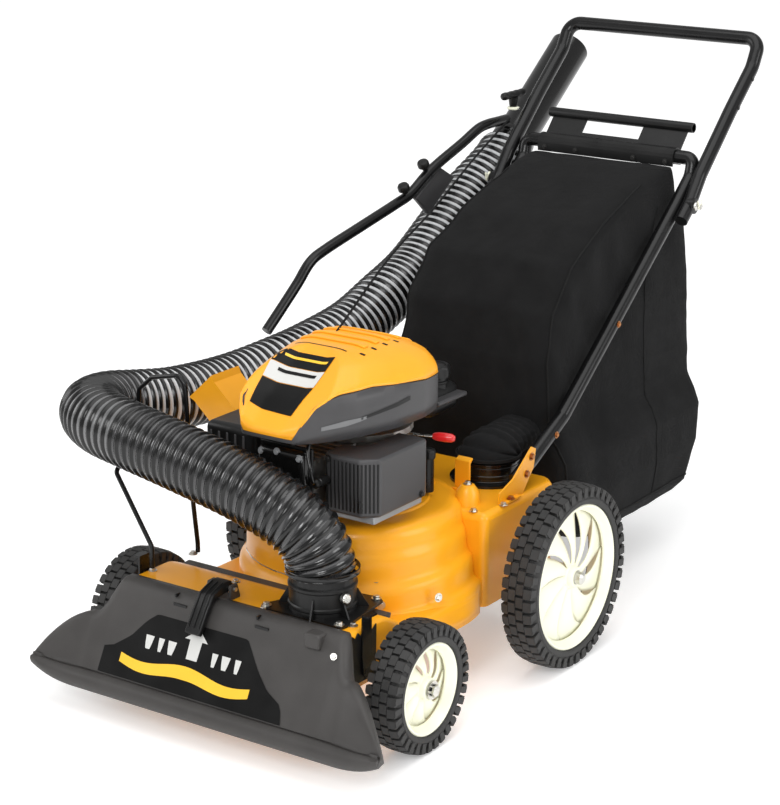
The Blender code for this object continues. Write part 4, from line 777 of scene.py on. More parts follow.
# ------------------------------------------------------------------ engine
for n in ("impeller", "crankshaft"):
    keep(n, ZINC)
for n in ("flywheel_fan", "engine_crankcase", "engine_cylinder"):
    keep(n, CAST)
vc = box_obj("valve_cover_round", (-0.0400, 0.0520, -0.4010, -0.3803, 0.3260, 0.4220), BLACK_G, bev=0.014, seg=5)
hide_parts("valve_cover")
vr = box_obj("valve_cover_rim", (-0.0440, 0.0560, -0.3850, -0.3800, 0.3220, 0.4260), BLACK_P, bev=0.008, seg=3)
vb = bolts("valve_cover_bolts", [((x, -0.3990, z), (0, -1, 0)) for x, z in ((-0.0300, 0.4120), (0.0420, 0.4120), (-0.0300, 0.3360), (0.0420, 0.3360), (0.0, 0.4160))],
           SILVER, r=0.0045)
sp = lathe_obj("spark_plug_boot_round", [(0, -0.3960), (0.0055, -0.3955), (0.0080, -0.3920), (0.0080, -0.3880), (0.0068, -0.3870), (0.0068, -0.3850), (0.0080, -0.3840),
                                         (0.0080, -0.3640), (0, -0.3640)], (0.0660, 0, 0.3750), BLACK_P, "y", 28)
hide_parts("spark_plug_boot")
lead = tube_obj("spark_plug_lead", catmull([(0.0660, -0.3940, 0.3750), (0.0680, -0.4010, 0.3830), (0.0650, -0.4020, 0.4000), (0.0560, -0.3960, 0.4200), (0.0500, -0.3840, 0.4430)], 10), 0.0030, BLACK_G, seg=14)
# muffler guard: a box with chamfered corner, ribbed front half and a plain side
gpts = [(0.0560, -0.3500), (0.0640, -0.3600), (0.1260, -0.3600), (0.1500, -0.3400), (0.1500, -0.2150), (0.1440, -0.2080), (0.0920, -0.2080),
        (0.0920, -0.2900), (0.0560, -0.3100)]
mg = prism_obj("muffler_guard_box", gpts, "z", 0.3220, 0.4150, GREY2, bev=0.0045, seg=4)
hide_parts("muffler_guard", "muffler")
bm = bmesh.new()
for k in range(9):
    x = 0.0640 + 0.0072 * k
    add_box(bm, x, x + 0.0034, -0.3612, -0.3590, 0.3300, 0.4080)
for k in range(5):
    f = (k + 0.5) / 5
    x, y = 0.1260 + 0.0240 * f, -0.3600 + 0.0200 * f
    M = Matrix.Translation((x, y, 0)) @ Matrix.Rotation(math.radians(40), 4, "Z")
    add_box(bm, -0.0016, 0.0016, -0.0010, 0.0010, 0.3300, 0.4080, M)
mr_ = mesh_obj("muffler_guard_ribs", bm, BLACK_P)
bevel(mr_, 0.0006, 1)
gb = bolts("muffler_guard_bolts", [((0.0680, -0.3600, 0.4080), (0, -1, 0)), ((0.1500, -0.2300, 0.3300), (1, 0, 0))], DARKM, r=0.0040)
ex = box_obj("muffler_heat_plate", (0.0700, 0.1420, -0.3450, -0.2150, 0.3100, 0.3220), SILVER, bev=0.002)
af = box_obj("air_filter_box", (-0.1500, -0.0560, -0.3900, -0.3000, 0.3350, 0.4380), BLACK_P, bev=0.012, seg=4)
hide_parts("air_filter_cover")
for k in range(5):
    g = box_obj("air_filter_rib_%d" % k, (-0.1380 + 0.0160 * k, -0.1340 + 0.0160 * k, -0.3912, -0.3890, 0.3480, 0.4250), GREY2, bev=0.0008)


def plan(s, y0=-0.2400):
    """Plan outline of the engine cover, finely stepped: s shrinks it towards its middle."""
    base = [(0.0, -0.4280), (0.0560, -0.4250), (0.0850, -0.3900), (0.1150, -0.3300), (0.1360, -0.2500), (0.1400, -0.1700),
            (0.1280, -0.1150), (0.1000, -0.0820), (0.0500, -0.0760), (0.0, -0.0760), (-0.0500, -0.0760),
            (-0.1000, -0.0820), (-0.1280, -0.1150), (-0.1400, -0.1700), (-0.1300, -0.2500), (-0.1060, -0.3300),
            (-0.0800, -0.3900), (-0.0560, -0.4250)]
    n = len(base)
    out = []
    for k in range(n):
        p0, p1, p2, p3 = [np.array(base[(k + d) % n]) for d in (-1, 0, 1, 2)]
        for t in np.linspace(0, 1, 8, endpoint=False):
            c = 0.5 * ((2 * p1) + (-p0 + p2) * t + (2 * p0 - 5 * p1 + 4 * p2 - p3) * t * t + (-p0 + 3 * p1 - 3 * p2 + p3) * t ** 3)
            lin = p1 + (p2 - p1) * t
            out.append(0.5 * c + 0.5 * lin)
    return [np.array((x * s, y0 + (y - y0) * s)) for x, y in out]


EDGE = [(-0.4285, 0.4500), (-0.4200, 0.4720), (-0.4020, 0.4985), (-0.3876, 0.5090), (-0.3650, 0.5170), (-0.3030, 0.5200), (-0.2385, 0.5145),
        (-0.1656, 0.5050), (-0.0800, 0.5000)]
SHELL = [(0.4425, 0.985), (0.4560, 1.0), (0.4993, 1.0), (0.5150, 0.975), (0.5400, 0.840), (0.5620, 0.620), (0.5740, 0.360)]


def cover_edge(x, y):
    """Height of the line where the coloured cover meets the dark skirt: low at the nose, high along the sides."""
    if abs(x) < 0.0555 and y < -0.40:
        return 0.4500
    return float(np.interp(y, [e[0] for e in EDGE], [e[1] for e in EDGE]))


def shell_s(z):
    return float(np.interp(z, [e[0] for e in SHELL], [e[1] for e in SHELL]))


def shell_z(s):
    return float(np.interp(-s, [-1.0, -0.992, -0.975, -0.930, -0.840, -0.740, -0.620, -0.490, -0.360, -0.180, 0.0],
                           [0.4993, 0.5075, 0.5150, 0.5262, 0.5400, 0.5522, 0.5620, 0.5694, 0.5738, 0.5739, 0.5739]))


def shell_dy(s):
    return float(np.interp(-s, [-1.0, -0.975, -0.840, -0.620, -0.360, 0.0], [0.0, 0.003, 0.015, 0.017, 0.012, 0.004]))


def shell_cap(x, y):
    """The flat front slope that carries the label."""
    return 0.4560 + 0.80 * (y + 0.4280) + 0.25 * max(0.0, abs(x) - 0.03)


def fit(x, y, z):
    """Draws the cover's outline in to its measured width, length and height; the nose stays put."""
    return x * (0.955 if x > 0 else 0.880), -0.4280 + (y + 0.4280) * 0.915, z if z < 0.4993 else 0.4993 + (z - 0.4993) * 0.79


full = plan(1.0)
STEPS = [0.0, 0.012, 0.03, 0.06, 0.10, 0.15, 0.20, 0.26, 0.32, 0.38, 0.45, 0.52, 0.60, 0.68, 0.76, 0.86, 0.95]
rings = []
for t in STEPS:
    ring = []
    for q in full:
        e = cover_edge(q[0], q[1])
        s_e = shell_s(e) if e > 0.4993 else 1.0
        sc = s_e + (0.02 - s_e) * t
        x, y = q[0] * sc, -0.2400 + (q[1] + 0.2400) * sc + shell_dy(sc)
        z = e if t == 0 else max(shell_z(sc), e)
        if y < -0.24:
            z = min(z, max(e, shell_cap(x, y)))
        ring.append(fit(x, y, z))
    rings.append(ring)
cover = mesh_obj("engine_cover", loft_bm(rings, (False, True)), YELLOW_P, smooth=38)
sm_ = cover.modifiers.new("wall", "SOLIDIFY")
sm_.thickness, sm_.offset = 0.0028, -1
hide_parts("shroud_cover")
sk = []
for t in (0.0, 0.25, 0.50, 0.75, 0.97, 1.03):
    ring = []
    for q in full:
        e = cover_edge(q[0], q[1]) - 0.0008
        z = 0.4425 + (e - 0.4425) * t
        sc = shell_s(z) * (0.998 if t < 0.9 else 0.996 if t < 1 else 0.955)
        ring.append(fit(q[0] * sc, -0.2400 + (q[1] + 0.2400) * sc + (shell_dy(sc) if z > 0.4993 else 0.0), z))
    sk.append(ring)
skirt = mesh_obj("engine_skirt", loft_bm(sk, (False, False)), GREY2, smooth=50)
sm_ = skirt.modifiers.new("wall", "SOLIDIFY")
sm_.thickness, sm_.offset = 0.0030, -1
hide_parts("shroud_skirt")

# groove drawn as a black strip of painted shade and a lighter strip of painted highlight on the skirt's side, slot,
# notches, label on the cover
def cover_point(x, y):
    """Height of the cover over (x, y), from its own mesh."""
    from mathutils.bvhtree import BVHTree
    dg = bpy.context.evaluated_depsgraph_get()
    t = BVHTree.FromObject(cover, dg)
    hit = t.ray_cast(Vector((x, y + OY, 1.0)), Vector((0, 0, -1)))
    return hit[0].z if hit[0] is not None else 0.55


def side_point(y, z, off=0.0008, x_from=0.30):
    from mathutils.bvhtree import BVHTree
    dg = bpy.context.evaluated_depsgraph_get()
    best = None
    for ob in (skirt, cover):
        t = BVHTree.FromObject(ob, dg)
        hit = t.ray_cast(Vector((x_from, y + OY, z)), Vector((-1, 0, 0)))
        if hit[0] is not None and (best is None or hit[0].x > best):
            best = hit[0].x
    return (0.13 if best is None else best) + off


def side_strip(name, lower, upper, mat, off=0.0010, n=28):
    """A strip on the engine's right side between two lines given as (y, z) pairs."""
    def line_at(l, f):
        f *= len(l) - 1
        i = min(int(f), len(l) - 2)
        t = f - i
        return l[i][0] + (l[i + 1][0] - l[i][0]) * t, l[i][1] + (l[i + 1][1] - l[i][1]) * t
    bm = bmesh.new()
    rows = []
    for i in range(n + 1):
        a, b = line_at(lower, i / n), line_at(upper, i / n)
        col = []
        for k in range(4):
            y, z = a[0] + (b[0] - a[0]) * k / 3, a[1] + (b[1] - a[1]) * k / 3
            col.append(bm.verts.new((side_point(y, z, off), y, z)))
        rows.append(col)
    for a, b in zip(rows[:-1], rows[1:]):
        for k in range(3):
            bm.faces.new((a[k], b[k], b[k + 1], a[k + 1]))
    return mesh_obj(name, bm, mat)


# the groove is a flat black strip on the dark grey skirt: painted shade in the recess
g1 = side_strip("skirt_groove_painted_shade", [(-0.335, 0.4700), (-0.280, 0.4760), (-0.235, 0.4810)], [(-0.335, 0.4740), (-0.280, 0.4820), (-0.235, 0.4880)], BLACK_P)
# a lighter grey strip along the skirt's side: painted highlight
g2 = side_strip("skirt_painted_highlight_strip", [(-0.395, 0.4620), (-0.360, 0.4640), (-0.325, 0.4700)], [(-0.395, 0.4680), (-0.360, 0.4730), (-0.325, 0.4745)], surface("painted_highlight_grey", (0.150, 0.152, 0.155), 0.40, 0.1, 900, 0.06, 0.05, 20, 0.05))


def top_patch(name, quad, mat, off=0.0007, nu=14, nv=10):
    """A thin label with straight sides laid on the cover; quad is four (x, y) corners."""
    from mathutils.bvhtree import BVHTree
    dg = bpy.context.evaluated_depsgraph_get()
    t = BVHTree.FromObject(cover, dg)
    a, b, c, d = [Vector((*p, 0)) for p in quad]
    bm = bmesh.new()
    g = []
    for i in range(nu + 1):
        row = []
        for j in range(nv + 1):
            u, v = i / nu, j / nv
            p = (a * (1 - u) + b * u) * (1 - v) + (d * (1 - u) + c * u) * v
            hit = t.ray_cast(Vector((p.x, p.y + OY, 1.0)), Vector((0, 0, -1)))
            z = hit[0].z if hit[0] is not None else 0.5
            nrm = hit[1] if hit[0] is not None else Vector((0, 0, 1))
            if nrm.z < 0:
                nrm = -nrm
            row.append(bm.verts.new((p.x + nrm.x * off, p.y + nrm.y * off, z + nrm.z * off)))
        g.append(row)
    for i in range(nu):
        for j in range(nv):
            bm.faces.new((g[i][j], g[i + 1][j], g[i + 1][j + 1], g[i][j + 1]))
    return mesh_obj(name, bm, mat)


for nm, quad, mt, off in (("cover_label_top", [(-0.0640, -0.3080), (0.0440, -0.3080), (0.0430, -0.3330), (-0.0600, -0.3330)], LABEL, 0.0008),
                          ("cover_label_mid", [(-0.0600, -0.3340), (0.0430, -0.3340), (0.0410, -0.3600), (-0.0560, -0.3600)], WHITE, 0.0008),
                          ("cover_label_low", [(-0.0560, -0.3610), (0.0410, -0.3610), (0.0300, -0.4030), (-0.0510, -0.4000)], LABEL, 0.0008),
                          ("cover_label_line", [(-0.0440, -0.3165), (0.0380, -0.3165), (0.0370, -0.3205), (-0.0430, -0.3205)], LABEL_Y, 0.0014),
                          ("cover_label_bar", [(-0.0400, -0.3400), (0.0330, -0.3400), (0.0320, -0.3450), (-0.0390, -0.3450)], LABEL, 0.0014),
                          ("cover_slot", [(-0.0500, -0.2830), (0.0480, -0.2830), (0.0480, -0.2860), (-0.0500, -0.2860)], LABEL, 0.0005)):
    q = top_patch(nm, quad, mt, off)
for i, y in enumerate((-0.270, -0.240, -0.210, -0.180)):
    q = top_patch("cover_notch_%d" % i, [(0.0640, y - 0.004), (0.0720, y - 0.002), (0.0720, y + 0.003), (0.0640, y + 0.001)], LABEL, 0.0005, 3, 3)
for i in range(5):
    y = -0.255 + 0.030 * i
    # raised ridges across the top
    q = top_patch("cover_ridge_%d" % i, [(-0.0620, y), (0.0600, y), (0.0600, y + 0.0110), (-0.0620, y + 0.0110)], YELLOW_P, 0.0030, 20, 4)
    s_ = q.modifiers.new("sheet", "SOLIDIFY")
    s_.thickness, s_.offset = 0.0032, -1
    bevel(q, 0.0012, 2)

# fuel tank, caps, dipstick tube, throttle lever
ft = box_obj("fuel_tank_round", (-0.1000, 0.0600, -0.0700, 0.0180, 0.3920, 0.4400), BLACK_P, bev=0.014, seg=4)
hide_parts("fuel_tank")
fn = lathe_obj("fuel_neck", [(0, 0.4300), (0.0215, 0.4300), (0.0205, 0.4420), (0.0225, 0.4440), (0.0225, 0.4465), (0.0205, 0.4480), (0.0205, 0.4515), (0, 0.4515)],
               (0.0360, -0.0220, 0), BLACK_P, seg=40)
sh = box_obj("fuel_tank_shelf", (0.0200, 0.0780, -0.0720, 0.0130, 0.4180, 0.4260), GREY2, bev=0.003)


def knurled(name, c, r, z0, z1, mat, body, lobes=10, depth=0.0022):
    seg = lobes * 8
    bm = bmesh.new()
    rows = []
    h = z1 - z0
    for f, k, w in ((0, 0.93, 0), (0.06, 0.97, 0.4), (0.16, 1.0, 1), (0.62, 1.0, 1), (0.80, 0.95, 0.7), (0.90, 0.86, 0.3), (0.92, 0.80, 0), (0.88, 0.72, 0), (0.97, 0.60, 0), (1.0, 0.30, 0)):
        ring = []
        for i in range(seg):
            a = 2 * math.pi * i / seg
            rr = r * k - depth * w * (0.5 - 0.5 * math.cos(a * lobes)) ** 1.0
            ring.append((c[0] + rr * math.cos(a), c[1] + rr * math.sin(a), z0 + h * f))
        rows.append(ring)
    return mesh_obj(name, loft_bm(rows), mat, body, 50)


fc = knurled("fuel_cap_knurled", (0.0360, -0.0220), 0.0264, 0.4523, 0.4750, BLACK_P, "fuel_cap", 8, 0.0030)
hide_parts("fuel_cap")
keep("oil_fill_tube", BLACK_P)
oc = knurled("oil_cap_knurled", (0.0960, -0.1300), 0.0129, 0.3523, 0.3680, BLACK_P, "oil_cap", 8, 0.0015)
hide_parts("oil_cap")
arm = prism_obj("throttle_arm", [(0.0480, -0.1620), (0.0560, -0.1640), (0.1150, -0.1400), (0.1150, -0.1340), (0.0560, -0.1480), (0.0480, -0.1500)],
                "z", 0.3920, 0.3942, ZINC, "throttle_lever", 0.0006)
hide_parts("throttle_lever")
gm = Matrix.Translation((0.1100, -0.1375, 0.3931)) @ Matrix.Rotation(math.radians(14), 4, "Z")
gr = lathe_obj("throttle_grip", [(0, 0.0), (0.0045, 0.0005), (0.0060, 0.003), (0.0072, 0.010), (0.0075, 0.022), (0.0068, 0.032), (0.0045, 0.0365), (0, 0.0375)],
               (0, 0, 0), RED, "x", 28, "throttle_lever", M=gm)

# discharge collar and the bag's latch
dc = lathe_obj("discharge_collar_ribbed", [(0.0470, 0.2723), (0.0640, 0.2723), (0.0640, 0.2765), (0.0530, 0.2785), (0.0515, 0.2800), (0.0515, 0.2850), (0.0525, 0.2860),
                                           (0.0525, 0.2890), (0.0515, 0.2900), (0.0515, 0.2980), (0.0525, 0.2990), (0.0525, 0.3020), (0.0515, 0.3030), (0.0515, 0.3060),
                                           (0.0540, 0.3075), (0.0540, 0.3095), (0.0525, 0.3100), (0.0470, 0.3100)], (0.10, 0.045, 0), BLACK_G, seg=64, closed=True)
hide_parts("discharge_collar")
keep("bag_latch", YELLOW)
hl = box_obj("bag_latch_hinge", (0.0820, 0.1180, -0.0400, -0.0290, 0.2723, 0.2752), YELLOW, bev=0.0006)

# ------------------------------------------------------------------ bag
LEVELS = [(0.0980, 0.3000, 0.5900, 0.148), (0.1080, 0.2550, 0.6150, 0.160), (0.1280, 0.2250, 0.6400, 0.173), (0.2000, 0.1800, 0.6620, 0.183),
          (0.2700, 0.1650, 0.6660, 0.180), (0.3000, 0.1580, 0.6650, 0.1680), (0.3250, 0.1500, 0.6640, 0.1560), (0.4500, 0.1400, 0.6560, 0.1540),
          (0.5300, 0.1600, 0.6500, 0.1530), (0.6000, 0.2200, 0.6420, 0.1520), (0.6550, 0.3250, 0.6300, 0.1500), (0.7000, 0.4600, 0.6150, 0.1460),
          (0.7150, 0.5200, 0.6060, 0.1430)]


def bag_at(z):
    zs = [l[0] for l in LEVELS]
    return [float(np.interp(z, zs, [l[i] for l in LEVELS])) for i in (1, 2, 3)]


def bag_ring(z, n_edge=22, n_arc=7):
    yf, yr, w = bag_at(z)
    r = 0.040
    pts = []
    for k, (cx, cy, a0) in enumerate(((w - r, yr - r, 0), (-w + r, yr - r, 90), (-w + r, yf + r, 180), (w - r, yf + r, 270))):
        for i in range(n_arc + 1):
            a = math.radians(a0 + 90 * i / n_arc)
            pts.append((cx + r * math.cos(a), cy + r * math.sin(a)))
        nx, ny = [(-w + r, yr - r), (-w + r, yf + r), (w - r, yf + r), (w - r, yr - r)][k]
        a1 = math.radians(a0 + 90)
        e0 = np.array((cx + r * math.cos(a1), cy + r * math.sin(a1)))
        e1 = np.array((nx + r * math.cos(a1), ny + r * math.sin(a1)))
        for i in range(1, n_edge):
            pts.append(tuple(e0 + (e1 - e0) * i / n_edge))
    return pts


def fold(p, nrm, z):
    """Slack cloth: long soft vertical folds, a few diagonal creases from the hanger and the neck, and small puckers."""
    x, y = p
    v = noise.noise(Vector((x * 9, y * 9, z * 3.0))) * 0.0068
    v += noise.noise(Vector((x * 24 + z * 6, y * 24, z * 9))) * 0.0038
    v += noise.noise(Vector((x * 70, y * 70, z * 45))) * 0.0007
    v += 0.0022 * math.sin((x + y) * 60 + z * 34) * max(0.0, min(1.0, (z - 0.30) / 0.25))
    belly = math.sin(max(0.0, min(1.0, (z - 0.11) / 0.58)) * math.pi)
    return v * (0.5 + belly)


rings = []
zs = list(np.linspace(0.0980, 0.1280, 6)) + list(np.linspace(0.1400, 0.6900, 74)) + [0.7000, 0.7080, 0.7150]
for z in zs:
    base = bag_ring(z)
    n = len(base)
    ring = []
    for i, p in enumerate(base):
        a, b = np.array(base[i - 1]), np.array(base[(i + 1) % n])
        t = (b - a) / (np.linalg.norm(b - a) + 1e-9)
        nr = np.array((t[1], -t[0]))
        d = fold(p, nr, z)
        lim = 0.0045 if 0.30 < z < 0.70 and abs(p[0]) > 0.13 else 0.009
        d = max(-0.012, min(lim, d))
        q = np.array(p) + nr * d
        if z > 0.640:
            # the top's rear edge stays in front of the handle's cross tube
            q[1] = min(q[1], 0.5775 + 0.30 * max(0.0, 0.668 - z))
        ring.append((q[0], q[1], z + 0.0015 * noise.noise(Vector((p[0] * 30, p[1] * 30, z)))))
    rings.append(ring)
bagv = mesh_obj("bag_cloth_shell", loft_bm(rings), BAG, "bag", 70)
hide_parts("bag_shell")
area = sum(p.area for p in bagv.data.polygons)

neck_line = even(catmull([(0.100, 0.0450, 0.3106), (0.100, 0.0470, 0.3200), (0.100, 0.0580, 0.3310), (0.099, 0.0900, 0.3370), (0.094, 0.2000, 0.3400)], 12), 0.0022)[0]
nT, nN, nB = frames(neck_line)
rings = []
for k, p in enumerate(neck_line):
    ring = []
    for i in range(64):
        a = 2 * math.pi * i / 64
        r = 0.0495 + 0.0030 * math.sin(k * 0.9 + 0.8 * math.sin(a * 2)) + 0.0034 * noise.noise(Vector((math.cos(a) * 4, math.sin(a) * 4, k * 0.25)))
        r *= 1.0 - 0.14 * min(1.0, k / 30.0)
        if k < 5:
            r = 0.0530 - 0.0004 * k
        q = p + r * (math.cos(a) * nN[k] + math.sin(a) * nB[k])
        # the slack cloth sags under its own weight
        ring.append((q[0], q[1], q[2] if q[2] < 0.3130 else 0.3130 + (q[2] - 0.3130) * 0.58))
    rings.append(ring)
nk = mesh_obj("bag_neck", loft_bm(rings, (False, False)), BAG, "bag", 70)
s_ = nk.modifiers.new("cloth", "SOLIDIFY")
s_.thickness, s_.offset = 0.0012, -1
tie = lathe_obj("bag_neck_tie", [(0.0532, 0.3120), (0.0548, 0.3122), (0.0552, 0.3150), (0.0548, 0.3178), (0.0532, 0.3180)], (0.100, 0.0455, 0), WEB, seg=56, body="bag", closed=True)


def on_bag(theta_pt, z, off=0.001):
    """A point just off the bag's cloth, found from outside along the ring's normal."""
    from mathutils.bvhtree import BVHTree
    global _bagtree
    try:
        t = _bagtree
    except NameError:
        _bagtree = BVHTree.FromObject(bagv, bpy.context.evaluated_depsgraph_get())
        t = _bagtree
    hit = t.find_nearest(Vector((theta_pt[0], theta_pt[1] + OY, z)))
    nrm = hit[1]
    out = Vector((theta_pt[0], theta_pt[1] + OY, z)) - Vector((0, 0.4 + OY, z))
    if nrm.dot(out) < 0:
        nrm = -nrm
    q = hit[0] + nrm * off
    return (q.x, q.y - OY, q.z)


def seam(name, pts, r=0.0014, n=40, mat=None):
    line = []
    for a, b in zip(pts[:-1], pts[1:]):
        for i in range(n):
            t = i / n
            x, y, z = [a[k] + (b[k] - a[k]) * t for k in range(3)]
            line.append(on_bag((x, y), z, 0.0006))
    ob = tube_obj(name, np.array(line), r, mat or WEB, "bag", 8, True, 60)
    return ob


for i, sx in enumerate((1, -1)):
    yfs = [(z, *bag_at(z)) for z in (0.70, 0.655, 0.60, 0.53, 0.45, 0.325, 0.27, 0.20, 0.13)]
    seam("bag_seam_front_%d" % i, [(sx * (w - 0.010), yf + 0.012, z) for z, yf, yr, w in yfs], 0.0018, 24)
    seam("bag_seam_rear_%d" % i, [(sx * (w - 0.010), yr - 0.012, z) for z, yf, yr, w in yfs[1:]], 0.0018, 24)
    seam("bag_seam_panel_%d" % i, [(sx * (w + 0.02), yf + 0.62 * (yr - yf), z) for z, yf, yr, w in yfs[1:]], 0.0012, 24)
seam("bag_seam_bottom", [(0.19, 0.24, 0.135), (0.19, 0.40, 0.130), (0.19, 0.62, 0.135)], 0.0016, 30)
# strap flap with its eyelet on the front face
fl_pts = []
bm = bmesh.new()
rows = []
for i in range(11):
    col = []
    for j in range(7):
        x = 0.055 + 0.040 * i / 10
        z = 0.325 - 0.045 * j / 6
        yf = bag_at(z)[0]
        col.append(bm.verts.new(on_bag((x, yf - 0.01), z, 0.0022 + 0.0010 * (j / 6))))
    rows.append(col)
for a, b in zip(rows[:-1], rows[1:]):
    for j in range(6):
        bm.faces.new((a[j], b[j], b[j + 1], a[j + 1]))
flap = mesh_obj("bag_flap", bm, BAG, "bag", 60)
s_ = flap.modifiers.new("cloth", "SOLIDIFY")
s_.thickness, s_.offset = 0.0016, 1
pt = on_bag((0.075, bag_at(0.30)[0] - 0.01), 0.300, 0.0050)
gt = lathe_obj("bag_eyelet", [(0.0030, 0), (0.0065, 0), (0.0068, 0.0010), (0.0055, 0.0018), (0.0030, 0.0010)], (0, 0, 0), ZINC, "y", 32, "bag",
               M=Matrix.Translation(pt), closed=True)

# hanger: folded plate over the crossbar with the lifting tube
BY, BZ, HY, HZ = 0.5970, 0.7310, 0.6410, 0.7770
keep("bag_hanger", BLACK_P)
ht = lathe_obj("bag_hanger_tube", [(0, -0.1490), (0.0070, -0.1490), (0.0088, -0.1478), (0.0092, -0.1460), (0.0092, 0.1460), (0.0088, 0.1478), (0.0070, 0.1490), (0, 0.1490)],
               (0, HY, HZ), BLACK_P, "x", 36, "bag")
rv = bolts("bag_hanger_rivets", [((x, BY - 0.0165, BZ - 0.0080), (0, -1, 0)) for x in (-0.125, -0.060, 0.060, 0.125)], DARKM, "bag", r=0.0035, h=0.0022)

# ------------------------------------------------------------------ handles
LX, UX, FY, FZ = 0.1735, 0.1990, 0.5370, 0.6600
low = rounded_path([(LX, 0.0120, 0.2900), (LX, 0.0600, 0.3120), (LX, 0.1580, 0.3620), (LX, FY, FZ - 0.0030), (LX, 0.5880, 0.7000), (LX, BY, BZ),
                    (-LX, BY, BZ), (-LX, 0.5880, 0.7000), (-LX, FY, FZ - 0.0030), (-LX, 0.1580, 0.3620), (-LX, 0.0600, 0.3120), (-LX, 0.0120, 0.2900)], 0.026, 10)
lh = tube_obj("lower_handle_round", low, 0.0125, TUBE, seg=28)
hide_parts("lower_handle")
upp = rounded_path([(UX, 0.5080, 0.6370), (UX, 0.5400, 0.6630), (UX, 0.5750, 0.7080), (UX, 0.6810, 0.8060), (UX, 0.7620, 0.8750), (UX, 0.7890, 0.9230),
                    (-UX, 0.7890, 0.9230), (-UX, 0.7620, 0.8750), (-UX, 0.6810, 0.8060), (-UX, 0.5750, 0.7080), (-UX, 0.5400, 0.6630), (-UX, 0.5080, 0.6370)],
                   0.050, 12)
uh = tube_obj("upper_handle_round", upp, 0.0125, TUBE, "upper_handle", seg=28)
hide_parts("upper_handle")
for side, s in (("left", 1), ("right", -1)):
    keep("handle_bracket_" + side, YELLOW)
    hb = bolts("handle_bolts_" + side, [((s * 0.1898, 0.0200, 0.3020), (s, 0, 0)), ((s * 0.1898, 0.0340, 0.3280), (s, 0, 0)), ((s * 0.1950, -0.0360, 0.2760), (0, 0, 1))],
               COPPER, r=0.0048)
    kn = lathe_obj("fold_knob_hub_" + side, [(0, s * 0.2119), (0.0078, s * 0.2119), (0.0078, s * 0.2140), (0.0065, s * 0.2160), (0.0048, s * 0.2180), (0.0048, s * 0.2235), (0, s * 0.2240)],
                   (0, FY, FZ), ZINC, "x", 32, "fold_knob_" + side)
    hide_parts("fold_knob_" + side)
    wg = prism_obj("fold_knob_wing_" + side, [(FY - 0.0050, FZ - 0.0040), (FY + 0.0050, FZ - 0.0040), (FY + 0.0080, FZ + 0.0110), (FY + 0.0060, FZ + 0.0120), (FY, FZ + 0.0070),
                                              (FY - 0.0060, FZ + 0.0120), (FY - 0.0080, FZ + 0.0110)], "x", min(s * 0.2188, s * 0.2226), max(s * 0.2188, s * 0.2226), CREAM,
                   "fold_knob_" + side, 0.0012, 3)
    # round boss at the pivot where the two handle parts meet
    cu = lathe_obj("fold_boss_" + side, [(0.0060, s * 0.1990), (0.0140, s * 0.1990), (0.0140, s * 0.2112), (0.0120, s * 0.2118), (0.0060, s * 0.2118)], (0, FY, FZ), TUBE, "x", 32,
                   "upper_handle", closed=True)
hole = []
for x, y, z in ((UX, 0.7420, 0.8580), (UX, 0.6900, 0.8130)):
    hole.append(((x + 0.0122, y, z), (1, 0, 0)))
hh = bolts("handle_screws", hole, DARKM, "upper_handle", r=0.0030, h=0.0012)
hh2 = bolts("lower_handle_screws", [((LX + 0.0122, 0.3200, 0.4886), (1, 0, 0)), ((LX + 0.0122, 0.1200, 0.3420), (1, 0, 0))], COPPER, "chassis", r=0.0040, h=0.0025)
gx, gy, gz = -UX - 0.0260, 0.6300, 0.7780
gd = lathe_obj("rope_guide_ring", [(0.0060, -0.0018), (0.0072, -0.0026), (0.0100, -0.0026), (0.0115, -0.0012), (0.0115, 0.0012), (0.0100, 0.0026), (0.0072, 0.0026), (0.0060, 0.0018)],
               (gx, gy, gz), CREAM, "z", 40, "upper_handle", closed=True)
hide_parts("rope_guide")
ga = box_obj("rope_guide_arm", (gx + 0.0090, -UX - 0.0120, gy - 0.0035, gy + 0.0035, gz - 0.0012, gz + 0.0012), ZINC, "upper_handle", 0.0006)
bm = bmesh.new()
rows = []
for f in np.linspace(-1, 1, 25):
    y = gy + f * 0.0378
    r = 0.0078 * (1 - 0.20 * math.cos(f * math.pi * 2) ** 2 * 0.5) * (1 if abs(f) < 0.92 else math.sqrt(max(0.02, 1 - ((abs(f) - 0.92) / 0.085) ** 2)))
    rows.append([(gx + r * math.cos(a), y, gz + 0.0255 + 0.95 * r * math.sin(a)) for a in [2 * math.pi * i / 24 for i in range(24)]])
sg = mesh_obj("starter_grip_bar", loft_bm(rows), BLACK_P, "starter_grip", 60)
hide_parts("starter_grip")
ss = lathe_obj("starter_grip_stem", [(0, 0.0030), (0.0065, 0.0030), (0.0075, 0.0050), (0.0085, 0.0120), (0.0095, 0.0200), (0, 0.0210)], (gx, gy, gz), BLACK_P, "z", 32, "starter_grip")

# ------------------------------------------------------------------ wheels
keep("rear_axle", ZINC)
for side, s in (("left", 1), ("right", -1)):
    keep("height_index_" + side, BLACK_P)
    keep("height_lever_" + side, TUBE)
    fnut = bolts("front_wheel_nut_" + side, [((s * 0.2952, -0.4106, 0.1016), (s, 0, 0))], ZINC, "height_arm_" + side, r=0.0100, h=0.0070)


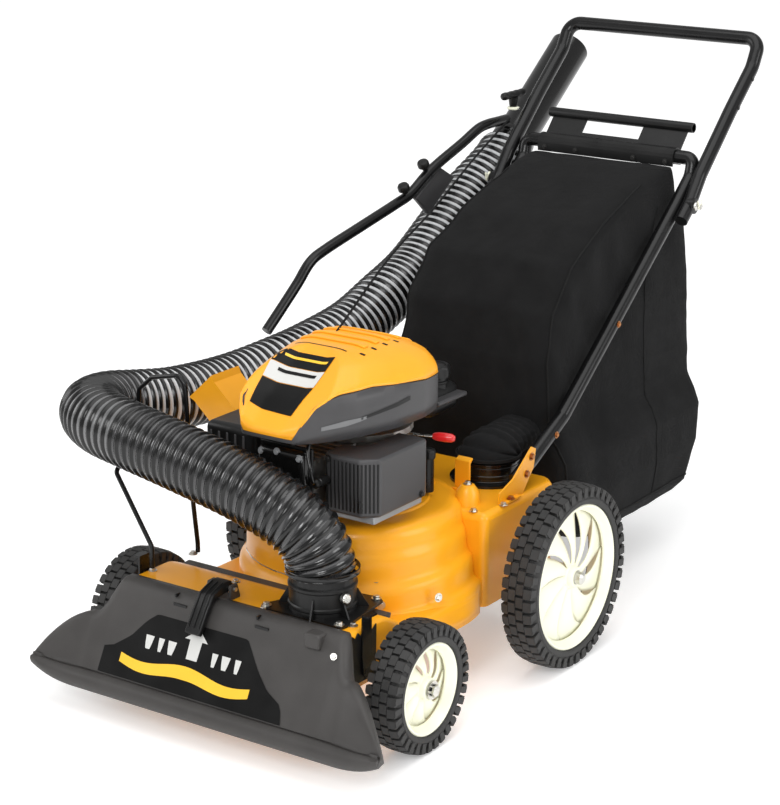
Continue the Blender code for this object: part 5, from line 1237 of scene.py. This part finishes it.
def tyre_bm(cx, cy, cz, R, rr, W, n):
    """Carcass with rounded shoulders, side ribs, and blocks in staggered rows that wrap on to the side walls."""
    h = W / 2
    base = R - 0.0058
    bm = bmesh.new()
    prof = [(rr, -h + 0.004), (rr + 0.0015, -h + 0.001), (rr + 0.004, -h + 0.0002), (rr + 0.009, -h), (base - 0.016, -h + 0.0008), (base - 0.008, -h + 0.0035), (base - 0.0015, -h + 0.0090),
            (base, -0.010), (base, 0.010), (base - 0.0015, h - 0.0090), (base - 0.008, h - 0.0035), (base - 0.016, h - 0.0008), (rr + 0.009, h), (rr + 0.004, h - 0.0002), (rr + 0.0015, h - 0.001),
            (rr, h - 0.004)]
    add_lathe(bm, prof, (cx, cy, cz), "x", n * 3, closed=True)
    def block(a0, a1, x0, x1, r0, r1, shoulder=0.0):
        vs = []
        for r, k in ((r0, 0), (r1, 1)):
            for a, x in ((a0, x0), (a1, x0), (a1, x1), (a0, x1)):
                shrink = 0.055 * (a1 - a0) * k
                aa = a + (shrink if a == a0 else -shrink)
                rad = r
                if k and shoulder and abs(x) > h * 0.8:
                    rad = r - shoulder
                vs.append(bm.verts.new((cx + x, cy + rad * math.cos(aa), cz + rad * math.sin(aa))))
        for f in ((0, 3, 2, 1), (4, 5, 6, 7), (0, 1, 5, 4), (1, 2, 6, 5), (2, 3, 7, 6), (3, 0, 4, 7)):
            bm.faces.new([vs[i] for i in f])
    st = 2 * math.pi / n
    for i in range(n):
        a = i * st
        # centre pair, offset half a step either side of the middle line
        block(a + 0.03 * st, a + 0.90 * st, -0.0132, -0.0006, base - 0.002, R)
        block(a + 0.53 * st, a + 1.40 * st, 0.0006, 0.0132, base - 0.002, R)
        # shoulder blocks
        block(a + 0.32 * st, a + 1.14 * st, -h + 0.0012, -0.0140, base - 0.004, R - 0.0002, 0.0022)
        block(a + 0.82 * st, a + 1.64 * st, 0.0140, h - 0.0012, base - 0.004, R - 0.0002, 0.0022)
        # lugs down the side wall
        for sx, o in ((-1, 0.34), (1, 0.84)):
            a0, a1 = a + (o + 0.05) * st, a + (o + 0.62) * st
            vs = []
            for x, k in ((h - 0.0030, 0), (h + 0.0000, 1)):
                for r, aa in ((base - 0.0135, a0), (base - 0.0135, a1), (R - 0.0030, a1), (R - 0.0030, a0)):
                    vs.append(bm.verts.new((cx + sx * x, cy + r * math.cos(aa), cz + r * math.sin(aa))))
            for f in ((0, 3, 2, 1), (4, 5, 6, 7), (0, 1, 5, 4), (1, 2, 6, 5), (2, 3, 7, 6), (3, 0, 4, 7)):
                bm.faces.new([vs[i] for i in f])
    return bm


def rim_obj(tag, cx, cy, cz, rr, s, body, spokes, gap):
    rr -= 0.0003
    out = lathe_obj("rim_ring_" + tag, [(rr - 0.0030, -s * 0.0225), (rr, -s * 0.0225), (rr, s * 0.0235), (rr - 0.0015, s * 0.0248), (rr - 0.0040, s * 0.0250), (rr - 0.0055, s * 0.0235),
                                        (rr - 0.0080, s * 0.0170), (rr - 0.0125, s * 0.0125), (rr - 0.0130, s * 0.0095), (rr - 0.0060, s * 0.0090), (rr - 0.0035, -s * 0.0180)],
                    (cx, cy, cz), CREAM, "x", 96, body, closed=True)
    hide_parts("rim_" + tag)
    hub = lathe_obj("rim_hub_" + tag, [(0.0066, -s * 0.0230), (0.0175, -s * 0.0230), (0.0180, -s * 0.0215), (0.0185, s * 0.0060), (0.0225, s * 0.0100), (0.0215, s * 0.0125), (0.0180, s * 0.0150),
                                       (0.0172, s * 0.0225), (0.0160, s * 0.0240), (0.0120, s * 0.0242), (0.0105, s * 0.0225), (0.0066, s * 0.0220)],
                    (cx, cy, cz), CREAM, "x", 64, body, closed=True)
    bm = bmesh.new()
    nr, nw = 16, 8
    r0, r1 = 0.0165, rr - 0.0085
    for k in range(spokes):
        grid = {}
        for i in range(nr + 1):
            f = i / nr
            r = r0 + (r1 - r0) * f
            swirl = 0.46 * f ** 1.4
            width = 2 * math.pi / spokes * (1.0 - gap * math.sin(math.pi * min(1, f * 1.05)) ** 0.8)
            for j in range(nw + 1):
                g = j / nw
                a = 2 * math.pi * k / spokes + (swirl + (g - 0.5) * width) * s
                lift = 0.0066 * (g - 0.5) * (0.25 + math.sin(math.pi * f)) + 0.0028 * math.sin(math.pi * g) * math.sin(math.pi * f)
                dish = 0.0060 + 0.0045 * math.cos(math.pi * f) * 0.9
                x = s * (dish + lift + 0.0012)
                grid[i, j] = bm.verts.new((cx + x, cy + r * math.cos(a), cz + r * math.sin(a)))
        for i in range(nr):
            for j in range(nw):
                bm.faces.new((grid[i, j], grid[i + 1, j], grid[i + 1, j + 1], grid[i, j + 1]))
    sp_ = mesh_obj("rim_spokes_" + tag, bm, CREAM, body, 60)
    so = sp_.modifiers.new("wall", "SOLIDIFY")
    so.thickness, so.offset = 0.0026, 0
    nut = bolts("wheel_washer_" + tag, [((cx + s * 0.0242, cy, cz), (s, 0, 0))], ZINC, body, r=0.0080, h=0.0006)


for side, s in (("left", 1), ("right", -1)):
    for pos, x, y, R, rr, n, spk, gap in (("rear", 0.2772, 0.0, 0.1524, 0.1210, 44, 10, 0.15), ("front", 0.2679, -0.4106, 0.1016, 0.0723, 34, 9, 0.05)):
        tag = "%s_%s" % (pos, side)
        body = "%s_wheel_%s" % (pos, side)
        ty = mesh_obj("tyre_tread_" + tag, tyre_bm(s * x, y, R, R, rr, 0.0550, n), RUBBER, body, 28)
        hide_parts("tyre_" + tag)
        rim_obj(tag, s * x, y, R, rr, s, body, spk, gap)

# ------------------------------------------------------------------ white studio
# a flat round floor, open on every side
bm = bmesh.new()
rows = []
for r in (0.5, 1.0, 1.6, 2.4, 3.5, 5.0, 8.0, 13.0, 20.0, 30.0):
    rows.append([bm.verts.new((r * math.cos(2 * math.pi * k / 96), r * math.sin(2 * math.pi * k / 96), -0.0005)) for k in range(96)])
bm.faces.new(rows[0])
for a, b in zip(rows[:-1], rows[1:]):
    for k in range(96):
        bm.faces.new((a[k], b[k], b[(k + 1) % 96], a[(k + 1) % 96]))
me = bpy.data.meshes.new("studio_floor")
bm.to_mesh(me)
bm.free()
me.shade_smooth()
fl_m, nt, b = nodes_of("studio_white_painted_glow")
b.inputs["Base Color"].default_value = (0.93, 0.93, 0.93, 1)
b.inputs["Roughness"].default_value = 0.55
tc = nt.nodes.new("ShaderNodeTexCoord")
nz = nt.nodes.new("ShaderNodeTexNoise")
nz.inputs["Scale"].default_value = 3.0
nt.links.new(tc.outputs["Object"], nz.inputs["Vector"])
rp = nt.nodes.new("ShaderNodeValToRGB")
rp.color_ramp.elements[0].color = (0.925, 0.925, 0.925, 1)
rp.color_ramp.elements[1].color = (0.945, 0.945, 0.945, 1)
nt.links.new(nz.outputs["Fac"], rp.inputs["Fac"])
nt.links.new(rp.outputs["Color"], b.inputs["Base Color"])
# painted light: the floor glows at strength 0.30 within 1 m of the centre, rising to 0.52 from 3.8 m out, so the far
# floor reads pure white while the floor by the machine stays dimmer
b.inputs["Emission Color"].default_value = (1, 1, 1, 1)
ln_ = nt.nodes.new("ShaderNodeVectorMath")
ln_.operation = "LENGTH"
nt.links.new(tc.outputs["Object"], ln_.inputs[0])
mr_ = nt.nodes.new("ShaderNodeMapRange")
mr_.inputs["From Min"].default_value, mr_.inputs["From Max"].default_value = 1.0, 3.8
mr_.inputs["To Min"].default_value, mr_.inputs["To Max"].default_value = 0.30, 0.52
nt.links.new(ln_.outputs["Value"], mr_.inputs["Value"])
nt.links.new(mr_.outputs["Result"], b.inputs["Emission Strength"])
me.materials.append(fl_m)
fo = bpy.data.objects.new("studio_floor", me)
scene.collection.objects.link(fo)


def area(name, loc, aim, size, power, col=(1, 1, 1)):
    l = bpy.data.lights.new(name, "AREA")
    l.shape, l.size, l.size_y, l.energy, l.color = "RECTANGLE", size[0], size[1], power, col
    o = bpy.data.objects.new(name, l)
    scene.collection.objects.link(o)
    o.location = loc
    o.rotation_euler = (Vector(aim) - Vector(loc)).to_track_quat("-Z", "Y").to_euler()
    return o


area("top_soft", (0.3, -0.4, 3.2), (0, -0.1, 0.3), (3.0, 3.0), 50)
area("key_front", (1.2, -3.4, 2.4), (0, -0.1, 0.35), (1.6, 1.2), 52)
area("fill_right", (3.2, 0.2, 1.5), (0, 0, 0.35), (1.8, 1.6), 34)
area("fill_left", (-3.0, -1.8, 1.8), (0, -0.1, 0.35), (1.6, 1.6), 26)
world = bpy.data.worlds.new("studio_world")
scene.world = world
world.use_nodes = True
world.node_tree.nodes["Background"].inputs["Color"].default_value = (1, 1, 1, 1)
world.node_tree.nodes["Background"].inputs["Strength"].default_value = 0.55
scene.view_settings.view_transform = "Standard"
scene.view_settings.look = "None"
scene.view_settings.exposure = 0.0
scene.view_settings.gamma = 1.0
